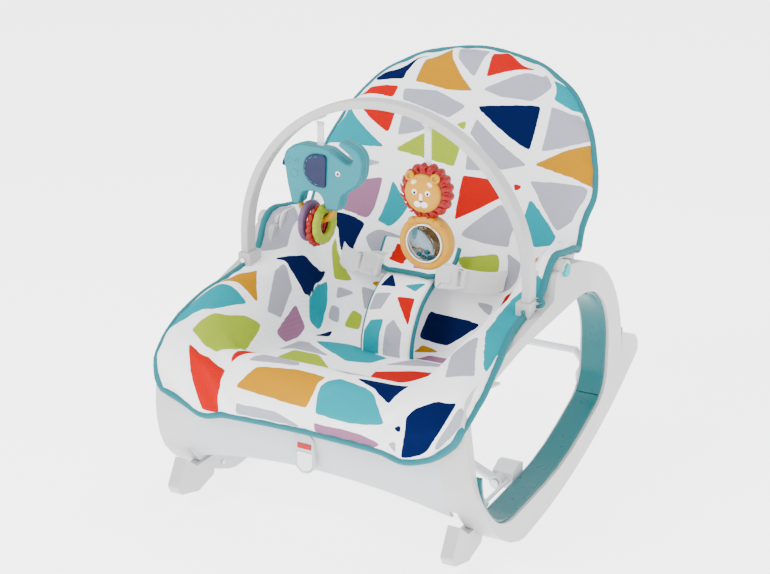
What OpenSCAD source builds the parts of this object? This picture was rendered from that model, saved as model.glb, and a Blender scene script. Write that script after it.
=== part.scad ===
// Infant-to-toddler rocker seat: two rocking side rails, a front panel with a soothing unit,
// a reclining padded back, a padded seat with a crotch restraint, a fold-down kickstand and
// a removable toy bar. Millimetres, +Z up, +X to the right of a viewer who faces the seat,
// the seat faces -Y. The origin is on the floor, in the middle of the footprint.

/* [Side rails] */
// Distance from the middle of the seat to the outer face of a rail
rail_out = 228; // [224:1:234]
// Thickness of a rail from its inner cover to its outer face
rail_t = 38; // [36:1:42]
// Radius of the rocking arc
rocker_r = 800; // [760:10:860]
// Distance that the lowest point of the arc lies in front of the middle
rocker_fwd = 145; // [135:1:150]
// Wall thickness of the moulded shells
wall = 3; // [2.5:0.5:4]
// Thickness of the coloured lining of the opening
liner_t = 4; // [3:0.5:5]

/* [Seat back] */
// Height of the recline pivot
pivot_z = 305; // [303:1:307]
// Distance of the recline pivot behind the middle
pivot_y = 10; // [8:1:12]
// Lean of the seat back, measured up from the floor
back_lean = 57.5; // [56:0.5:59]
// Length of the seat back above its hinge line
back_len = 303; // [290:1:306]
// Largest half width of the seat back
back_half_w = 203; // [196:1:205]
// Thickness of the back pad
back_pad_t = 20; // [16:1:22]
// Diameter of the back frame tube
frame_d = 16; // [14:1:18]

/* [Seat] */
// Half width of the seat cushion between the side bolsters
cushion_half_w = 128; // [120:1:132]
// Thickness of the webbing and piping
webbing_t = 2; // [1.5:0.5:2.5]

/* [Kickstand] */
// Diameter of the kickstand tube
stand_d = 10; // [8:1:12]
// Diameter of the kickstand pivot pin
stand_pin_d = 6; // [5:1:7]
// Radial running clearance of pins
running_gap = 0.05; // [0.02:0.01:0.1]

/* [Toy bar] */
// Outer radius of the toy bar arch
bar_r = 204; // [202:1:205]
// Thickness of the arch strip
bar_t = 11; // [9:1:11]
// Depth of the arch strip from front to back
bar_depth = 20; // [16:1:22]
// Distance of the toy bar in front of the middle
bar_fwd = 57; // [55:1:59]

/* [Toys] */
// Thickness of the elephant body
elephant_t = 22; // [18:1:24]
// Outer radius of a teether ring
ring_r = 27; // [25:1:28]
// Radius of the round rattle toy
rattle_r = 35; // [32:1:36]

/* [Hidden] */
$fn = 48;

// Colours
WHITE = [0.92, 0.92, 0.90];
PANEL_WHITE = [0.87, 0.88, 0.90];
TEAL = [0.05, 0.62, 0.64];
AQUA = [0.25, 0.72, 0.76];
STEEL = [0.72, 0.72, 0.74];
CLOTH = [0.86, 0.86, 0.90];
NAVY = [0.03, 0.12, 0.35];
MUSTARD = [0.93, 0.68, 0.05];
RED = [0.85, 0.18, 0.18];
LIME = [0.65, 0.75, 0.15];
LILAC = [0.45, 0.30, 0.45];
GREY = [0.35, 0.36, 0.38];

// Derived places
rail_in = rail_out - rail_t;
cover_t = 2.5;
cheek_x = 178;
cover_front = 223.7;
eps = 0.01;

// ---- outline helpers ----

function unit(v) = v / norm(v);

// Points of the rounding of radius r at corner q between its neighbours p and n
function corner_arc(p, q, n, r) =
  let (
    u = unit(p - q),
    v = unit(n - q),
    half = acos(u * v) / 2,
    centre = q + unit(u + v) * r / sin(half),
    a = q + u * r / tan(half) - centre,
    b = q + v * r / tan(half) - centre,
    start = atan2(a.y, a.x),
    sweep = (atan2(b.y, b.x) - start + 540) % 360 - 180,
    steps = max(2, ceil(abs(sweep) / 9))
  )
  [for (i = [0:steps]) centre + r * [cos(start + sweep * i / steps), sin(start + sweep * i / steps)]];

// Closed outline from corners written as [x, y, radius]
function rounded(corners) =
  let (n = len(corners))
  [for (i = [0:n - 1])
    let (
      p = corners[(i + n - 1) % n],
      q = corners[i],
      s = corners[(i + 1) % n],
      pts = q.z == 0
        ? [[q.x, q.y]]
        : corner_arc([p.x, p.y], [q.x, q.y], [s.x, s.y], q.z)
    )
    each pts];

// Twice the signed area of an outline, from corner i on: positive when it runs anticlockwise
function turning(c, i = 0) =
  i == len(c) ? 0 : cross([c[i].x, c[i].y], [c[(i + 1) % len(c)].x, c[(i + 1) % len(c)].y]) + turning(c, i + 1);

// The same outline with every edge moved inwards by d, or outwards when d is negative
function inset(corners, d) =
  let (n = len(corners), side = sign(turning(corners)))
  [for (i = [0:n - 1])
    let (
      p = corners[(i + n - 1) % n],
      q = corners[i],
      s = corners[(i + 1) % n],
      u = unit([q.x - p.x, q.y - p.y]),
      v = unit([s.x - q.x, s.y - q.y]),
      nu = side * [-u.y, u.x],
      nv = side * [-v.y, v.x],
      shift = d * (nu + nv) / (1 + nu * nv),
      r = q.z == 0 ? 0 : max(0.5, q.z - sign(side * cross(u, v)) * d)
    )
    [q.x + shift.x, q.y + shift.y, r]];

// The same corners mirrored in the vertical axis, in reverse order
function mirrored(corners) =
  [for (i = [len(corners) - 1:-1:0]) [-corners[i].x, corners[i].y, corners[i].z]];

// A profile drawn in the Y-Z plane, extruded along X from x0 to x1
module side_extrude(x0, x1) {
  translate([x0, 0, 0]) rotate([90, 0, 90]) linear_extrude(x1 - x0) children();
}

// A profile drawn in the X-Z plane, extruded towards -Y from y0 down to y1
module front_extrude(y0, y1) {
  translate([0, y0, 0]) rotate([90, 0, 0]) linear_extrude(y0 - y1) children();
}

module both_sides() {
  children();
  mirror([1, 0, 0]) children();
}

// A round bar between two points
module bar(a, b, d) {
  v = b - a;
  translate(a)
    rotate([0, acos(v.z / norm(v)), atan2(v.y, v.x)])
      cylinder(h = norm(v), d = d);
}

// A round tube that follows a list of points, with a slightly fuller ball at every bend
module bar_path(points, d) {
  bend_swell = 1.1;
  for (i = [0:len(points) - 2]) bar(points[i], points[i + 1], d);
  for (i = [1:len(points) - 2]) translate(points[i]) sphere(d = d * bend_swell);
}

// ---- side rails ----

// Side view of the whole rail: [Y, Z, corner radius]
RAIL_OUTER = [
  [-252, -4, 170], [-252, 227, 42], [-24, 275, 10], [-12, 306, 10], [199, 318, 180],
  [197, 161, 10], [263, 134, 27], [263, -4, 0]
];
// The opening that the rail bends around
RAIL_OPENING = [
  [-237, 40, 92], [12, 46, 400], [147, 95, 46], [147, 276, 100], [-105, 244, 300], [-237, 213, 26]
];

module rail_outline(d = 0) {
  intersection() {
    polygon(rounded(inset(RAIL_OUTER, d)));
    translate([-rocker_fwd, rocker_r]) circle(r = rocker_r - d, $fn = 720);
  }
}
module rail_opening(d = 0) {
  polygon(rounded(inset(RAIL_OPENING, -d)));
}

// The D-shaped ring, thinned by an inset all round
module rail_ring(d = 0) {
  difference() {
    rail_outline(d);
    rail_opening(d);
  }
}

// Space that a rail may fill: its outer face leans in over the seat and its front corner is round
module rail_space(d = 0) {
  corner_r = 22;
  intersection() {
    translate([0, 0, -10])
      linear_extrude(360)
        polygon(rounded([
          [cheek_x - 1, -253 + d, 0], [rail_out - d, -253 + d, corner_r],
          [rail_out - d, 280, 0], [cheek_x - 1, 280, 0]
        ]));
    lean_cut(d);
  }
}

// Everything on the inner side of the leaning outer face
module lean_cut(d) {
  lean_slope = 0.129;
  line_rise = 0.667;
  line_y = 40;
  line_z = 240;
  big = 900;
  tilt_dir = unit([1, -line_rise * lean_slope, lean_slope]);
  turn = atan2(tilt_dir.y, tilt_dir.x);
  drop = acos(tilt_dir.z);
  translate([rail_out - d, line_y, line_z])
    rotate([0, drop, turn])
      translate([-big / 2, -big / 2, -big])
        cube(big);
}

// Hollow moulded rail; at the front it wraps round the corner as far as the front panel
module rail_shell_body() {
  difference() {
    intersection() {
      side_extrude(cheek_x, rail_out + 5) rail_ring();
      rail_space();
    }
    translate([cheek_x - 1, -224, -10]) cube([rail_in - cheek_x + 1, 600, 400]);
    translate([cheek_x - 1, -300, 186]) cube([rail_in - cheek_x + 1, 300, 100]);
    intersection() {
      side_extrude(rail_in - 1, rail_out + 5) rail_ring(wall);
      rail_space(wall);
    }
    socket_notch();
    stand_pin_hole(stand_pin_d / 2);
    recline_pocket_hole();
    bumper_shape();
  }
}

module rail_shell_right() { color(WHITE) rail_shell_body(); }
module rail_shell_left() { color(WHITE) mirror([1, 0, 0]) rail_shell_body(); }

// Flat inner cover that closes the hollow rail
module rail_cover_body() {
  difference() {
    side_extrude(rail_in - cover_t, rail_in)
      intersection() {
        rail_ring(0.6);
        translate([-cover_front, 0]) square([600, 400]);
      }
    socket_notch();
    stand_pin_hole(stand_pin_d / 2);
  }
}

module rail_cover_right() { color(PANEL_WHITE) rail_cover_body(); }
module rail_cover_left() { color(PANEL_WHITE) mirror([1, 0, 0]) rail_cover_body(); }

// Coloured lining of the rear and bottom rim of the opening, in two lengths that meet at a seam
LINER_SEAM = [101, 127.2];
module rail_liner_body() {
  seam_gap = 1;
  side_extrude(rail_in + 1.5, rail_out - 4)
    difference() {
      intersection() {
        difference() {
          rail_opening(-0.2);
          rail_opening(-0.2 - liner_t);
        }
        polygon([[-240, 0], [260, 0], [260, 320], [80, 262], [-150, 150], [-240, 130]]);
      }
      translate(LINER_SEAM) rotate(-50.8) translate([38, -seam_gap / 2]) square([16, seam_gap]);
    }
}

module rail_liner_right() { color(TEAL) rail_liner_body(); }
module rail_liner_left() { color(TEAL) mirror([1, 0, 0]) rail_liner_body(); }

// Soft round bumpers under the rear end of each rocker
module bumper_shape() {
  translate([209, 238, 100.2])
    rotate([-155, 0, 0])
      cylinder(h = 5, d = 16);
}
module rear_bumpers() {
  color(TEAL) both_sides() bumper_shape();
}

// Screws that hold the rail covers
RAIL_SCREWS = [[-150, 21], [0, 24], [110, 52], [172, 200], [130, 262]];
module rail_screws() {
  color(STEEL)
    both_sides()
      for (p = RAIL_SCREWS)
        translate([rail_in - cover_t - 1.5, p.x, p.y])
          rotate([0, 90, 0])
            cylinder(h = 1.5, d = 7);
}

// ---- front feet ----

FOOT_PROFILE = [
  [-236, 66, 3], [-257, 31, 5], [-250, 19, 4], [-212, 8, 6], [-176, 17, 6], [-176, 44, 3], [-215, 66, 3]
];
module front_foot_body() {
  difference() {
    side_extrude(183, 199) polygon(rounded(FOOT_PROFILE));
    side_extrude(rail_in - cover_t - 0.2, 201) rail_outline();
    side_extrude(160, 200) polygon([[-252, 400], [-150, 400], [-150, 44], [-214, 44], [-240, 66]]);
  }
}
module front_foot_right() { color(WHITE) front_foot_body(); }
module front_foot_left() { color(WHITE) mirror([1, 0, 0]) front_foot_body(); }

// ---- front panel ----

// Curved skin of the front panel, flush with the front of the rails
module front_profile() {
  skin = 4;
  y_end = -190;
  difference() {
    polygon(rounded([[-252, -4, 170], [-252, 204, 30], [-206, 204, 0], [y_end, -4, 0]]));
    polygon(rounded([
      [-252 + skin, -4 + skin, 170 - skin], [-252 + skin, 204 - skin, 30 - skin],
      [-205, 204 - skin, 0], [y_end + 10, -4 + skin, 0]
    ]));
    translate([-205, 20]) square([300, 300]);
    translate([y_end, -10]) square([300, 60]);
  }
}

button_x = 0;
button_z = 112;
module button_shape(grow = 0) {
  translate([button_x, button_z])
    polygon(rounded([
      [-10.5 - grow, -16 - grow, 10.4], [10.5 + grow, -16 - grow, 10.4],
      [10.5 + grow, 9 + grow, 2], [-10.5 - grow, 9 + grow, 2]
    ]));
}

module front_panel() {
  arch_r = 561;
  arch_top = 91;
  color(PANEL_WHITE)
    difference() {
      union() {
        side_extrude(-cheek_x, cheek_x) front_profile();
        front_extrude(-245, -252) button_bezel_shape();
      }
      translate([0, -100, arch_top - arch_r])
        rotate([90, 0, 0])
          cylinder(h = 300, r = arch_r, $fn = 360);
      front_extrude(-240, -260) button_shape(0.4);
    }
}

// Raised oval plate round the button
module button_bezel_shape() {
  translate([button_x, button_z + 7])
    polygon(rounded([[-13, -26, 12.5], [13, -26, 12.5], [13, 26, 12.5], [-13, 26, 12.5]]));
}

module label_plate() {
  color(RED)
    front_extrude(-252, -253)
      translate([button_x, button_z + 17])
        polygon(rounded([[-9.5, -3.5, 1], [9.5, -3.5, 1], [9.5, 3.5, 1], [-9.5, 3.5, 1]]));
}

module power_button() {
  color(PANEL_WHITE) front_extrude(-243, -253) button_shape();
}

// ---- soothing unit behind the panel ----

unit_half_w = 62;
unit_low_front = -230.3;
unit_high_front = -247.5;
unit_front = -229.8;
unit_back = -176;
unit_low = 92;
unit_high = 166;
// Box whose front leans with the panel, open below for the battery door
module soother_case() {
  color(PANEL_WHITE)
    difference() {
      side_extrude(-unit_half_w, unit_half_w)
        polygon([
          [unit_low_front, unit_low], [unit_back, unit_low],
          [unit_back, unit_high], [unit_high_front, unit_high]
        ]);
      translate([-unit_half_w + wall, unit_front + wall, unit_low - 1])
        cube([2 * (unit_half_w - wall), unit_back - unit_front - 2 * wall, unit_high - unit_low - wall + 1]);
    }
}

module battery_door() {
  color(PANEL_WHITE)
    union() {
      translate([-unit_half_w + wall + 0.3, unit_front + wall + 0.3, unit_low])
        cube([2 * (unit_half_w - wall) - 0.6, unit_back - unit_front - 2 * wall - 0.6, 3]);
      translate([-10, unit_back - wall - 12, unit_low - 1.5]) cube([20, 8, 1.5]);
    }
}

module battery_cell() {
  color(NAVY)
    translate([-56, -207, unit_low + 3.5 + 17])
      rotate([0, 90, 0]) {
        cylinder(h = 58, d = 33);
        translate([0, 0, 58]) cylinder(h = 2, d = 9);
      }
}

motor_axis = [30, -207, 125];
module vibration_motor() {
  color(STEEL)
    translate(motor_axis)
      rotate([0, 90, 0]) {
        translate([0, 0, -14]) cylinder(h = 26, d = 24);
        cylinder(h = 25, d = 2.5);
      }
}

module motor_weight() {
  color(GREY)
    translate(motor_axis + [14, 0, 0])
      rotate([0, 90, 0])
        difference() {
          union() {
            cylinder(h = 9, d = 7);
            intersection() {
              cylinder(h = 9, d = 22);
              translate([0, -12, 0]) cube([12, 24, 9]);
            }
          }
          translate([0, 0, -1]) cylinder(h = 11, r = 1.25 + running_gap);
        }
}

// ---- seat pan and stretcher ----

// Upper line of the pan, from front to back
PAN_TOP = [[-204, 186], [-150, 166], [22, 134]];
module seat_pan() {
  pan_t = 4;
  color(PANEL_WHITE)
    side_extrude(-cushion_half_w - 2, cushion_half_w + 2)
      polygon([
        PAN_TOP[0], PAN_TOP[1], PAN_TOP[2],
        PAN_TOP[2] - [0, pan_t], PAN_TOP[1] - [0, pan_t], PAN_TOP[0] - [0, pan_t]
      ]);
}

stretch_y = -71;
stretch_z = 44;
bolt_x = 170;
bolt_d = 6;
lug_t = 13;
module front_stretcher() {
  tube_d = 12;
  rise = 30;
  bend_x = 100;
  tube_end = bolt_x - 4.6;
  lug_r = 8.5;
  slope = rise / (bolt_x - bend_x);
  low_end = stretch_z + (bolt_x - tube_end) * slope;
  color(STEEL)
    difference() {
      union() {
        bar_path([
          [-tube_end, stretch_y, low_end], [-bend_x, stretch_y, stretch_z + rise],
          [bend_x, stretch_y, stretch_z + rise], [tube_end, stretch_y, low_end]
        ], tube_d);
        both_sides()
          translate([bolt_x, stretch_y + lug_t / 2, stretch_z])
            rotate([90, 0, 0])
              cylinder(h = lug_t, r = lug_r);
      }
      both_sides()
        translate([bolt_x, stretch_y + 10, stretch_z])
          rotate([90, 0, 0])
            cylinder(h = 20, d = bolt_d);
    }
}

// Moulded block that carries a stretcher end, with a round-ended guide rod in front of it
module stretcher_brackets() {
  face_y = stretch_y + lug_t / 2;
  rod_y = -134;
  rod_x = 181.3;
  rod_d = 5;
  knob_d = 12;
  color(PANEL_WHITE)
    both_sides()
      difference() {
        union() {
          side_extrude(160, rail_in - cover_t)
            polygon(rounded([[face_y, 32, 2], [face_y, 54, 2], [-46, 62, 6], [-32, 58, 3], [-32, 32, 2]]));
          translate([rod_x, rod_y, stretch_z]) rotate([-90, 0, 0]) cylinder(h = face_y - rod_y + 1, d = rod_d);
          translate([rod_x, rod_y, stretch_z]) sphere(d = knob_d);
        }
        translate([bolt_x, 0, stretch_z]) rotate([90, 0, 0]) cylinder(h = 80, d = bolt_d);
        translate([150, face_y + 8, 37]) cube([28, 40, 13]);
      }
}

module stretcher_bolts() {
  head_t = 3.5;
  color(STEEL)
    both_sides()
      translate([bolt_x, stretch_y - lug_t / 2, stretch_z])
        rotate([90, 0, 0]) {
          cylinder(h = head_t, d = 11);
          translate([0, 0, -lug_t - 7]) cylinder(h = lug_t + 7, d = bolt_d);
        }
}

// ---- kickstand ----

stand_y = 204;
stand_top = 119;
stand_x = 177;
stand_lean = -8;
stand_foot_z = 8;
pin_y = stand_y - 16;
pin_z = 92;

module stand_pin_hole(r) {
  translate([rail_in - cover_t - 1, pin_y, pin_z]) rotate([0, 90, 0]) cylinder(h = 12, r = r);
}

// U-shaped tube: cross bar on top, one leg down each side
module stand_shape() {
  bend = 18;
  leg = (stand_top - stand_foot_z) / cos(stand_lean);
  translate([0, stand_y, stand_top])
    rotate([stand_lean, 0, 0])
      bar_path([
        [stand_x, 0, -leg], [stand_x, 0, -bend], [stand_x - bend, 0, 0],
        [bend - stand_x, 0, 0], [-stand_x, 0, -bend], [-stand_x, 0, -leg]
      ], stand_d);
}
module kickstand_tube() {
  color(STEEL) stand_shape();
}

module kickstand_hubs() {
  hub_x = 171.5;
  hub_w = 15;
  color(PANEL_WHITE)
    both_sides()
      difference() {
        side_extrude(hub_x, hub_x + hub_w)
          polygon(rounded([
            [pin_y - 10, pin_z - 10, 9], [pin_y + 29, pin_z - 12, 5],
            [pin_y + 27, pin_z + 12, 5], [pin_y - 10, pin_z + 10, 9]
          ]));
        translate([150, pin_y, pin_z]) rotate([0, 90, 0]) cylinder(h = 60, r = stand_pin_d / 2 + running_gap);
        stand_shape();
      }
}

module kickstand_feet() {
  foot_h = 14;
  foot_y = stand_y + (stand_top - stand_foot_z) * tan(stand_lean);
  color(GREY)
    both_sides()
      difference() {
        translate([stand_x, foot_y, 0]) cylinder(h = foot_h, d = 18);
        stand_shape();
      }
}

module kickstand_pins() {
  head_x = 169;
  color(STEEL)
    both_sides()
      translate([head_x, pin_y, pin_z])
        rotate([0, 90, 0]) {
          cylinder(h = rail_in + 4 - head_x, d = stand_pin_d);
          cylinder(h = 2, d = 12);
        }
}

// ---- seat back ----

// Places the plane of the seat back: its origin is on the hinge line behind the pivot,
// local X across, local Y up along the back, local Z out of its front
back_root = [0, pivot_y + 67, pivot_z - 43];
module back_plane() {
  translate(back_root)
    rotate([back_lean, 0, 0])
      children();
}

// Outline of the padded back, in the plane of the back
BACK_SIDE = [[170, 8, 14], [187, 60, 40], [back_half_w, 112, 40], [back_half_w, back_len, 182]];
module backrest_pad() {
  color(CLOTH)
    back_plane()
      translate([0, 0, -6])
        linear_extrude(back_pad_t)
          polygon(rounded(concat(BACK_SIDE, mirrored(BACK_SIDE))));
}

frame_r = 176;
frame_depth = -6 - frame_d / 2 - 0.5;
module back_frame_tube() {
  hoop_s = back_len - 18 - frame_r;
  foot_s = 34;
  color(STEEL)
    back_plane()
      translate([0, 0, frame_depth]) {
        translate([0, hoop_s, 0]) rotate_extrude(angle = 180) translate([frame_r, 0]) circle(d = frame_d);
        both_sides()
          translate([frame_r, hoop_s, 0])
            rotate([90, 0, 0]) cylinder(h = hoop_s - foot_s, d = frame_d);
      }
}

module back_cross_tube() {
  color(STEEL)
    back_plane()
      translate([-frame_r, 46, frame_depth])
        rotate([0, 90, 0])
          difference() {
            cylinder(h = 2 * frame_r, d = 12);
            for (z = [0, 2 * frame_r])
              translate([0, 30, z]) rotate([90, 0, 0]) cylinder(h = 60, d = frame_d);
          }
}

// Moulded arm that joins the frame tube to the pivot
arm_x0 = 183.6;
arm_x1 = rail_in - cover_t - 0.8;
module back_arm_body() {
  color(PANEL_WHITE)
    difference() {
      union() {
        side_extrude(arm_x0, arm_x1)
          polygon(rounded([
            [pivot_y - 14, pivot_z - 14, 13], [86, 240, 12], [124, 318, 10], [pivot_y - 6, pivot_z + 16, 14]
          ]));
        back_plane()
          translate([frame_r, 82, frame_depth]) rotate([90, 0, 0]) cylinder(h = 48, d = frame_d + 8);
      }
      back_plane()
        translate([frame_r, 120, frame_depth]) rotate([90, 0, 0]) cylinder(h = 150, d = frame_d);
      back_plane()
        translate([frame_r - 30, 46, frame_depth]) rotate([0, 90, 0]) cylinder(h = 30, d = 12);
      back_plane()
        translate([100, 0, -6.3]) cube([arm_x0 - 100, 120, 60]);
      back_plane()
        translate([arm_x0 - 1, 45, -6.3]) cube([20, 90, 120]);
      translate([150, pivot_y, pivot_z]) rotate([0, 90, 0]) cylinder(h = 60, r = pivot_pin_r + running_gap);
      translate([arm_x1, 0, 0]) cube([60, 400, 400]);
    }
}
module back_arm_right() { back_arm_body(); }
module back_arm_left() { mirror([1, 0, 0]) back_arm_body(); }

// Housing of the recline pivot, standing on top of the rail
pivot_pin_r = 7;
pivot_boss_r = 13;
pivot_out = 219;
recline_button_r = 8;
recline_pocket = 12;
module pivot_housing_body() {
  color(WHITE)
    difference() {
      union() {
        side_extrude(rail_in - cover_t, pivot_out) {
          translate([pivot_y, pivot_z]) circle(r = pivot_boss_r);
          translate([pivot_y - 18, pivot_z - 10]) square([36, 11]);
        }
        translate([arm_x0 - 1, pivot_y, pivot_z])
          rotate([0, 90, 0]) cylinder(h = rail_in - cover_t - arm_x0 + 1.5, r = pivot_pin_r);
      }
      side_extrude(rail_in - cover_t, pivot_out + 1) rail_outline(-0.1);
      recline_pocket_hole();
    }
}
module recline_pocket_hole() {
  translate([pivot_out - recline_pocket, pivot_y, pivot_z])
    rotate([0, 90, 0]) cylinder(h = 40, r = recline_button_r + 0.3);
}
module pivot_housing_right() { pivot_housing_body(); }
module pivot_housing_left() { mirror([1, 0, 0]) pivot_housing_body(); }

module recline_button_body() {
  color(TEAL)
    translate([pivot_out - recline_pocket + 5, pivot_y, pivot_z])
      rotate([0, 90, 0])
        cylinder(h = recline_pocket - 5 + 2.5, r = recline_button_r);
}
module recline_button_right() { recline_button_body(); }
module recline_button_left() { mirror([1, 0, 0]) recline_button_body(); }

// ---- padded seat ----

module lower_back_pad() {
  color(CLOTH)
    back_plane()
      translate([-cushion_half_w, -118, -4])
        cube([2 * cushion_half_w, 80, 18]);
}

SEAT_PROFILE = [
  [-263, 149, 3], [-253, 149, 2], [-253, 206, 28], [-206, 206, 2], [-204.5, 188, 0],
  [-150, 167, 0], [12, 137, 3], [13, 150, 8], [-187, 191, 12], [-197, 216, 10], [-263, 214, 30]
];
module seat_cushion() {
  color(CLOTH)
    side_extrude(-cushion_half_w, cushion_half_w)
      polygon(rounded(SEAT_PROFILE));
}

// Side bolster: a padded wall beside the cushion whose front edge lies over the rail
BOLSTER_WALL = [
  [-263, 147, 8], [-253, 147, 2], [-253, 206, 28], [-206, 206, 2], [-204.5, 188, 0], [-150, 167, 0],
  [26, 134.5, 3], [34, 240, 20], [-30, 278, 30], [-140, 268, 60], [-222, 252, 40], [-263, 217, 30]
];
module seat_bolster_body() {
  flap_x = rail_in - cover_t - 1;
  flap_end = -78;
  color(CLOTH)
    difference() {
      side_extrude(cushion_half_w + 0.2, 208) polygon(rounded(BOLSTER_WALL));
      side_extrude(flap_x, 230) rail_outline(-0.6);
      translate([flap_x, flap_end, 100]) cube([60, 200, 250]);
      front_extrude(60, -204.5)
        polygon([
          [cushion_half_w + 6, 0], [cushion_half_w + 6, 142],
          [flap_x, 232], [flap_x, 236], [260, 236], [260, 0]
        ]);
    }
}
module seat_bolster_right() { seat_bolster_body(); }
module seat_bolster_left() { mirror([1, 0, 0]) seat_bolster_body(); }

// ---- restraint ----

crotch_half_w = 36;
crotch_centre = [49.5, 163.4];
module crotch_pad() {
  color(CLOTH)
    side_extrude(-crotch_half_w, crotch_half_w)
      intersection() {
        difference() {
          translate(crotch_centre) circle(r = 102, $fn = 120);
          translate(crotch_centre) circle(r = 89, $fn = 120);
        }
        polygon([crotch_centre, [-90, 175.5], [-90, 330], [29, 330]]);
      }
}

belt_clear = 0.3;

module belt_shape(grow = 0) {
  translate([78, 24, 262])
    rotate([8, 24, 14])
      translate([-grow, -webbing_t / 2 - grow, -12.5 - grow])
        cube([58 + 2 * grow, webbing_t + 2 * grow, 25 + 2 * grow]);
}

module waist_belts() {
  color(WHITE)
    both_sides() belt_shape();
}

module belt_buckles() {
  color(WHITE)
    both_sides()
      difference() {
        translate([61.5, 18, 266])
          rotate([8, 14, 14])
            translate([-20, -6, -15]) cube([40, 12, 30]);
        belt_shape(belt_clear);
      }
}

// ---- toy bar ----

bar_y = -bar_fwd;
bar_axis_z = 303;
bar_foot_z = 270;
socket_z0 = 262;
socket_z1 = 284;
socket_w = 18.2;
socket_d = 27;
socket_screw_z = 274;

module socket_notch() {
  translate([rail_in - cover_t - 5, bar_y - socket_d / 2 - 0.5, socket_z0 - 0.1])
    cube([socket_w + 5.5, socket_d + 1, 60]);
}

module toy_bar_socket_body() {
  color(WHITE)
    difference() {
      translate([rail_in - cover_t + 0.1, bar_y - socket_d / 2, socket_z0])
        cube([socket_w, socket_d, socket_z1 - socket_z0]);
      translate([bar_r - bar_t - 0.2, bar_y - bar_depth / 2 - 0.2, bar_foot_z - 0.2])
        cube([bar_t + 0.4, bar_depth + 0.4, 60]);
      translate([rail_in + 8.5, bar_y, socket_screw_z]) rotate([90, 0, 0]) cylinder(h = 40, d = 4);
    }
}
module toy_bar_socket_right() { toy_bar_socket_body(); }
module toy_bar_socket_left() { mirror([1, 0, 0]) toy_bar_socket_body(); }

module toy_bar_arch() {
  color(WHITE)
    union() {
      translate([0, bar_y - bar_depth / 2, bar_axis_z])
        rotate([-90, 0, 0])
          mirror([0, 1, 0])
            rotate_extrude(angle = 180, $fn = 180)
              translate([bar_r - bar_t, 0]) square([bar_t, bar_depth]);
      both_sides()
        translate([bar_r - bar_t, bar_y - bar_depth / 2, bar_foot_z])
          cube([bar_t, bar_depth, bar_axis_z - bar_foot_z + eps]);
    }
}

module toy_bar_screws() {
  color(STEEL)
    both_sides()
      translate([rail_in + 8.5, bar_y - socket_d / 2, socket_screw_z])
        rotate([90, 0, 0]) {
          cylinder(h = 1.5, d = 7);
          translate([0, 0, -3]) cylinder(h = 3, d = 4);
        }
}

// ---- toys ----

strap_w = 9;
toy_top = 438;
elephant_x = -87;
lion_x = 62;

anchor_r = bar_r - bar_t - webbing_t - 0.4;
hinge_bead_d = 4;
toy_bead_d = 6;
toy_bead_w = 12;
elephant_bead_z = toy_top - 5;
lion_bead_z = toy_top - 9;

// Height of the lowest point of the webbing under the arch at x
function anchor_low(x) = bar_axis_z + sqrt(pow(anchor_r, 2) - pow(abs(x) + strap_w / 2, 2));
function hinge_z(x) = anchor_low(x) - hinge_bead_d / 2 - 0.5;

// Folded webbing that is sewn under the arch at x
module strap_anchor(x) {
  depth = bar_depth - 4;
  intersection() {
    translate([0, bar_y - depth / 2, bar_axis_z])
      rotate([-90, 0, 0])
        difference() {
          cylinder(h = depth, r = bar_r - bar_t, $fn = 180);
          translate([0, 0, -1]) cylinder(h = depth + 2, r = anchor_r, $fn = 180);
        }
    translate([x - strap_w / 2, bar_y - 30, anchor_low(x) - 20]) cube([strap_w, 60, 60]);
  }
}
module strap_anchors() {
  color(WHITE) {
    strap_anchor(elephant_x);
    strap_anchor(lion_x);
  }
}

// Hanging strap: a rolled bead turns under the arch, and a cross bead turns inside the toy
module toy_strap(x, bead_z) {
  start_z = bead_z + 1.6;
  color(WHITE)
    union() {
      translate([x - strap_w / 2, bar_y, hinge_z(x)])
        rotate([0, 90, 0]) cylinder(h = strap_w, d = hinge_bead_d);
      translate([x - strap_w / 2, bar_y - webbing_t / 2, start_z])
        cube([strap_w, webbing_t, hinge_z(x) - start_z]);
      translate([x, bar_y + toy_bead_w / 2, bead_z])
        rotate([90, 0, 0]) cylinder(h = toy_bead_w, d = toy_bead_d);
    }
}
module elephant_strap() { toy_strap(elephant_x, elephant_bead_z); }
module lion_strap() { toy_strap(lion_x, lion_bead_z); }

// Room for the strap's lower bead inside a toy, with a slot above it
module strap_socket(x, bead_z) {
  slot_half = 7.2;
  translate([x, bar_y + toy_bead_w / 2 + 0.3, bead_z])
    rotate([90, 0, 0]) cylinder(h = toy_bead_w + 0.6, r = toy_bead_d / 2 + running_gap);
  translate([x - slot_half, bar_y - webbing_t / 2 - 0.5, bead_z])
    cube([2 * slot_half, webbing_t + 1, 30]);
}

// Outline of the elephant: [X, Z, corner radius] from the strap, head and curled trunk on the right
ELEPHANT = [
  [-24, 3, 20], [-50, -8, 18], [-44, -50, 20], [-38, -76, 3], [-27, -76, 3],
  [-22, -58, 12], [4, -56, 14], [12, -78, 4], [30, -78, 4], [34, -58, 14],
  [62, -38, 26], [66, 2, 22], [34, 14, 4], [30, 7, 3], [52, -8, 5], [46, -18, 6], [16, 0, 10]
];
module elephant_body() {
  color(AQUA)
    difference() {
      translate([elephant_x, 0, toy_top])
        front_extrude(bar_y + elephant_t / 2, bar_y - elephant_t / 2)
          polygon(rounded(ELEPHANT));
      strap_socket(elephant_x, elephant_bead_z);
      loop_shape();
    }
}

// D-shaped ear that lies on the front of the body
module elephant_ear() {
  color(NAVY)
    translate([elephant_x, 0, toy_top])
      front_extrude(bar_y - elephant_t / 2, bar_y - elephant_t / 2 - 3)
        polygon(rounded([[15, -7, 5], [-18, -7, 18], [-18, -49, 22], [13, -49, 3]]));
}

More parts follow.
